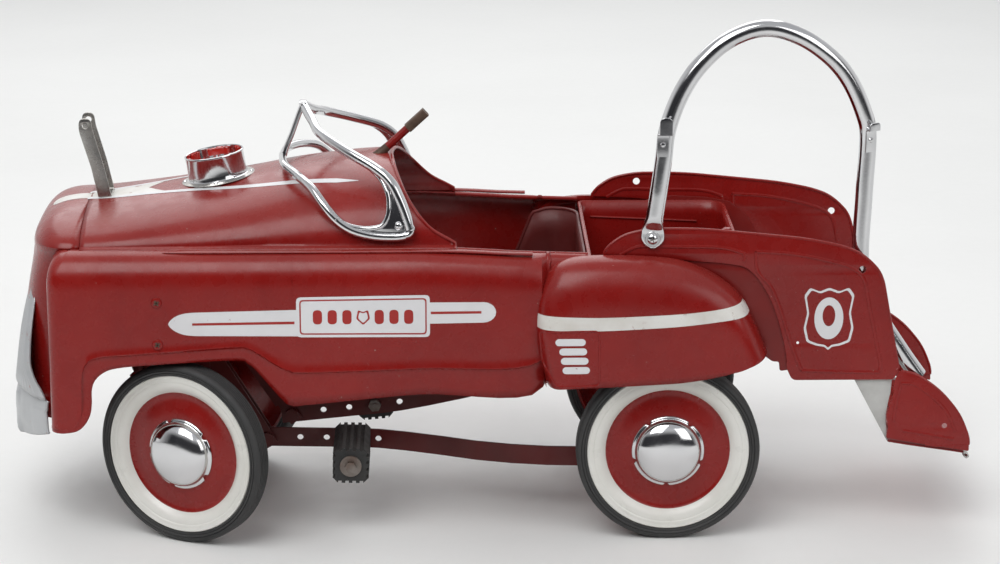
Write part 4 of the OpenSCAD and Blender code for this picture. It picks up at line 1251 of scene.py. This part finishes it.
def make_spear(side):
    """Spear on the body side, with a bordered panel of plain bars in its middle."""
    sign = SIDES[side]

    def flat(name, loops, lift, look):
        shape = moved(flat_shape(loops, 0), lambda p: (p.x, sign * (side_y + 0.25 + lift), p.y))
        decal(name, shape, look)

    front = spline(spear_tip, 5) + [(204, 268.5), (204, 238.6)]
    front += spline(spear_tip_low, 5)[:0:-1]
    flat("spear_front_" + side, [front], 0, WHITE_DECAL)
    centre = [(320, 251.4), (320, 254), (209, 255.4), (209, 252.4)]
    flat("spear_line_" + side, [centre], 0.15, RED_DECAL)
    panel = rounded([(207, 237.5), (207, 282.5), (62, 284.5), (62, 237)], 5, 3)
    flat("cartouche_" + side, [panel], 0.1, WHITE_DECAL)
    border = [rounded([(203.5, 240.5), (203.5, 279.5), (65.5, 281), (65.5, 240)], 4, 3),
              rounded([(202, 242), (202, 278), (67, 279.5), (67, 241.6)], 3, 3)]
    flat("cartouche_border_" + side, border, 0.25, RED_DECAL)
    shield = [rounded([(140, 268), (134.5, 265.5), (129, 268), (127, 258), (134.5, 251),
                       (142, 258)], 2),
              rounded([(138.4, 266), (134.5, 264), (130.6, 266), (129, 258.6), (134.5, 253),
                       (140, 258.6)], 2)]
    flat("cartouche_shield_" + side, shield, 0.25, RED_DECAL)
    for k, x in enumerate((184, 168, 152, 117, 101, 85)):
        bar = rounded(oblong(x - 5, 252, x + 5, 268), 5, 6)
        flat("cartouche_bar_%s_%d" % (side, k), [bar], 0.25, RED_DECAL)
    rear = [(64, 252), (64, 276), (4, 276)] + arc(4, 264.5, 14, 11.6, 90, 270, 10)
    flat("spear_rear_" + side, [rear], 0, WHITE_DECAL)
    line = [(61, 262.8), (61, 265.6), (6, 266), (6, 263.2)]
    flat("spear_rear_line_" + side, [line], 0.15, RED_DECAL)


def make_fender_marks(side, fender):
    """Stripe round the rear fender and four louvre marks below it."""
    inward = (0, -SIDES[side], 0)
    tree = tree_of(fender)
    stripe = ribbon(spline(stripe_top, 4), spline(stripe_low, 4), 120)
    decal("fender_stripe_" + side, laid(stripe, tree, inward), WORN_DECAL)
    for k in range(4):
        x0, x1 = (-74, -107) if k == 0 else (-76.5 - 1.8 * k, -107 - 1.6 * k)
        z = 233.5 - 10.6 * k
        pill = arc(x0 - 4, z, 4, 4, 90, -90, 8) + arc(x1 + 4, z, 4, 4, 270, 90, 8)
        shape = moved(flat_shape([pill], 0), lambda p: (p.x, 0, p.y))
        decal("louvre_mark_%s_%d" % (side, k), laid(shape, tree, inward), WHITE_DECAL)


def make_badge(side):
    """Shield outline and plain oval on the rear side panel."""

    def flat(name, loops):
        shape = moved(flat_shape(loops, 0), lambda p: (p.x, SIDES[side] * (panel_y + 0.3), p.y))
        decal(name + side, shape, WHITE_DECAL)

    flat("badge_outline_", [rounded([(badge_x + w * a, badge_z + h * b) for a, b in badge_loop],
                                    2.5, 4) for w, h in ((60, 72), (54.5, 66.5))])
    turn = circle(0, 0, 1, 32)
    flat("badge_oval_", [[(badge_x + 16 * x, badge_z + 1 + 24 * z) for x, z in turn],
                         [(badge_x + 7 * x, badge_z + 4 + 12 * z) for x, z in turn]])


def make_hood_paint(hood, prow):
    """Pinstripe along each side of the hood and the flash on its nose."""
    tree = tree_of(hood, prow)
    line = even(spline(pinstripe, 6), 90)
    for side, sign in SIDES.items():
        rows = []
        for i, p in enumerate(line):
            half = 4.0 * min(1, (len(line) - i) / 8)
            rows.append([(p.x, sign * (p.y + s * half), 300) for s in (-1, 0, 1)])
        decal("hood_pinstripe_" + side, laid(grid(rows), tree, (0, 0, -1), 0.25), WHITE_DECAL)
    rows = []
    for i in range(31):
        x = lerp(486, 362, i / 30)
        half = lookup(x, [(350, 26), (411, 18), (446, 12), (490, 13)])
        rows.append([(x - 4 * abs(s) ** 3 + 16 * (1 - abs(s)) * ease((i - 18) / 12), half * s, 300)
                     for s in [k / 12 for k in range(-12, 13)]])
    decal("hood_flash", laid(grid(rows), tree, (0, 0, -1), 0.2), WORN_DECAL)


# ---------- CAD nodes that stay ----------

def dress_nodes():
    """Mechanism that shows as it is: softened edges and worn materials."""
    looks = {
        "dark_red_paint": ["front_crossmember", "axle_stirrup_left", "axle_stirrup_right",
                           "front_axle_beam", "column_bracket", "spindle_left", "spindle_right",
                           "tie_rod", "axle_hanger_left", "axle_hanger_right",
                           "pedal_strap_left", "pedal_strap_right", "pedal_hanger_left",
                           "pedal_hanger_right"],
        "axle_steel": ["rear_axle", "pedal_bolt_left", "pedal_bolt_right"],
        "pedal_rubber": ["pedal_left", "pedal_right"],
        "red_enamel": ["deck_knob"],
    }
    for slot, names in looks.items():
        for name in names:
            obj = frame["nodes"][name]
            for k in range(len(obj.material_slots)):
                obj.material_slots[k].material = LOOKS[slot]
            soften(obj, 0.5)
    column = frame["nodes"]["steering_column"]
    column.data.materials.clear()
    column.data.materials.append(LOOKS["red_enamel"])
    soften(column, 0.4)


def soften(obj, width):
    """Rounds the sharp edges of a CAD node."""
    bevel = obj.modifiers.new("edges", "BEVEL")
    bevel.width = width * MM
    bevel.segments = 2
    bevel.limit_method = "ANGLE"
    bevel.angle_limit = math.radians(40)


def make_column_details():
    """Bare flattened end of the column and the worn cone where it leaves the cowl."""
    joint = next(j for j in frame["joints"] if j["name"] == "column_turn")
    place = Vector(joint["pos_m"]) / MM
    along = Vector(joint["axis"]).normalized()
    reach = (LOW["steering_column"].x - place.x) / along.x
    tip = sweep([place + along * (reach + d) for d in (-26, -25, -23, 0, 1.5)],
                ring(5.2, 6.6, 24, 5), (0, 1, 0))
    piece("column_tip", tip, "steering_column", "axle_steel", look=BARE_TIP)
    cone = sweep([place + along * d for d in (-12, -6, 0, 6, 10)],
                 lambda t: ring(lerp(6.2, 4.75, ease(t * 1.1))), (0, 1, 0))
    piece("column_grommet", cone, "steering_column", "axle_steel", look=BARE_TIP)


# ---------- stage, light and camera ----------

def make_stage():
    """Pale floor that darkens far in front of the car, where only chrome sees it."""
    mesh = bpy.data.meshes.new("floor")
    reach = 9
    rows = [[(reach * (i / 8 - 1), reach * (j / 8 - 1), 0) for j in range(17)] for i in range(17)]
    points, faces = grid(rows)
    mesh.from_pydata(points, [], faces)
    floor = bpy.data.objects.new("floor", mesh)
    bpy.context.scene.collection.objects.link(floor)
    mesh.materials.append(finish_of(
        "studio_floor", (0.80, 0.80, 0.785), (0.77, 0.77, 0.755), (0.55, 0.75), bump=0.12,
        bump_scale=140, blotch=1.5, marks=[(30, 0.72, (0.62, 0.61, 0.59), 0.35, 4)]))
    tree = mesh.materials[0].node_tree
    shader = tree.nodes["Principled BSDF"]
    colour = shader.inputs["Base Color"].links[0].from_socket
    coords = node(tree, "ShaderNodeTexCoord").outputs["Object"]
    ahead = node(tree, "ShaderNodeSeparateXYZ", {0: coords}).outputs[1]
    dark = mixed(tree, spread(tree, ahead, 0.9, 2.2, 0, 1), colour, (0.05, 0.05, 0.052, 1))
    tree.links.new(dark, shader.inputs["Base Color"])


def make_lights():
    """Bright room with a dark wall low in front of the car, and three soft lamps."""
    world = bpy.data.worlds.new("studio")
    bpy.context.scene.world = world
    world.use_nodes = True
    tree = world.node_tree
    coords = node(tree, "ShaderNodeTexCoord").outputs["Generated"]
    height = node(tree, "ShaderNodeSeparateXYZ", {0: coords}).outputs[2]
    share = spread(tree, height, 0.05, 0.75, 0, 1)
    sky = mixed(tree, share, (1.0, 1.0, 1.0, 1), (0.6, 0.61, 0.63, 1))
    front = node(tree, "ShaderNodeSeparateXYZ", {0: coords}).outputs[1]
    room = product(tree, spread(tree, front, -0.1, 0.45, 0, 1),
                   spread(tree, height, 0.35, 0.62, 1, 0))
    sky = mixed(tree, room, sky, (0.045, 0.045, 0.05, 1))
    back = tree.nodes["Background"]
    tree.links.new(sky, back.inputs["Color"])
    back.inputs["Strength"].default_value = 0.88
    for name, place, size, watts, aim in (
            ("key", (1.2, 2.2, 3.2), 2.6, 82, (0, 0, 0.2)),
            ("fill", (-2.6, 2.6, 2.0), 2.4, 32, (0, 0, 0.2)),
            ("back", (0.2, -2.6, 2.8), 3.2, 56, (0, 0, 0.2))):
        data = bpy.data.lights.new(name, "AREA")
        data.size = size
        data.energy = watts
        lamp = bpy.data.objects.new(name, data)
        lamp.location = place
        toward = Vector(aim) - Vector(place)
        lamp.rotation_euler = toward.to_track_quat("-Z", "Y").to_euler()
        bpy.context.scene.collection.objects.link(lamp)


def make_camera():
    """Long lens from the car's left, a little above the hood."""
    data = bpy.data.cameras.new("camera")
    data.lens = 108.4
    data.sensor_width = 36
    camera = bpy.data.objects.new("camera", data)
    camera.location = (0.0527, 3.3116, 1.1561)
    aim = Vector((-0.0205, -0.9646, -0.2629))
    camera.rotation_euler = aim.to_track_quat("-Z", "Y").to_euler()
    bpy.context.scene.collection.objects.link(camera)
    bpy.context.scene.camera = camera
    bpy.context.scene.view_settings.view_transform = "Standard"


make_camera()
make_stage()
make_lights()
hood = make_hood()
prow = make_prow()
make_grille()
make_bumper()
for side in SIDES:
    make_side(side)
fenders = {side: make_fender(side) for side in SIDES}
for side in SIDES:
    make_panel(side)
make_seat()
make_tub()
make_step()
make_windshield()
make_bell_bracket()
make_beacon()
make_grab_rail()
make_rail_bolt()
make_ladder_hooks()
make_fender_screws()
make_wheels()
make_column_details()
for side in SIDES:
    make_spear(side)
    make_fender_marks(side, fenders[side])
    make_badge(side)
make_hood_paint(hood, prow)
dress_nodes()
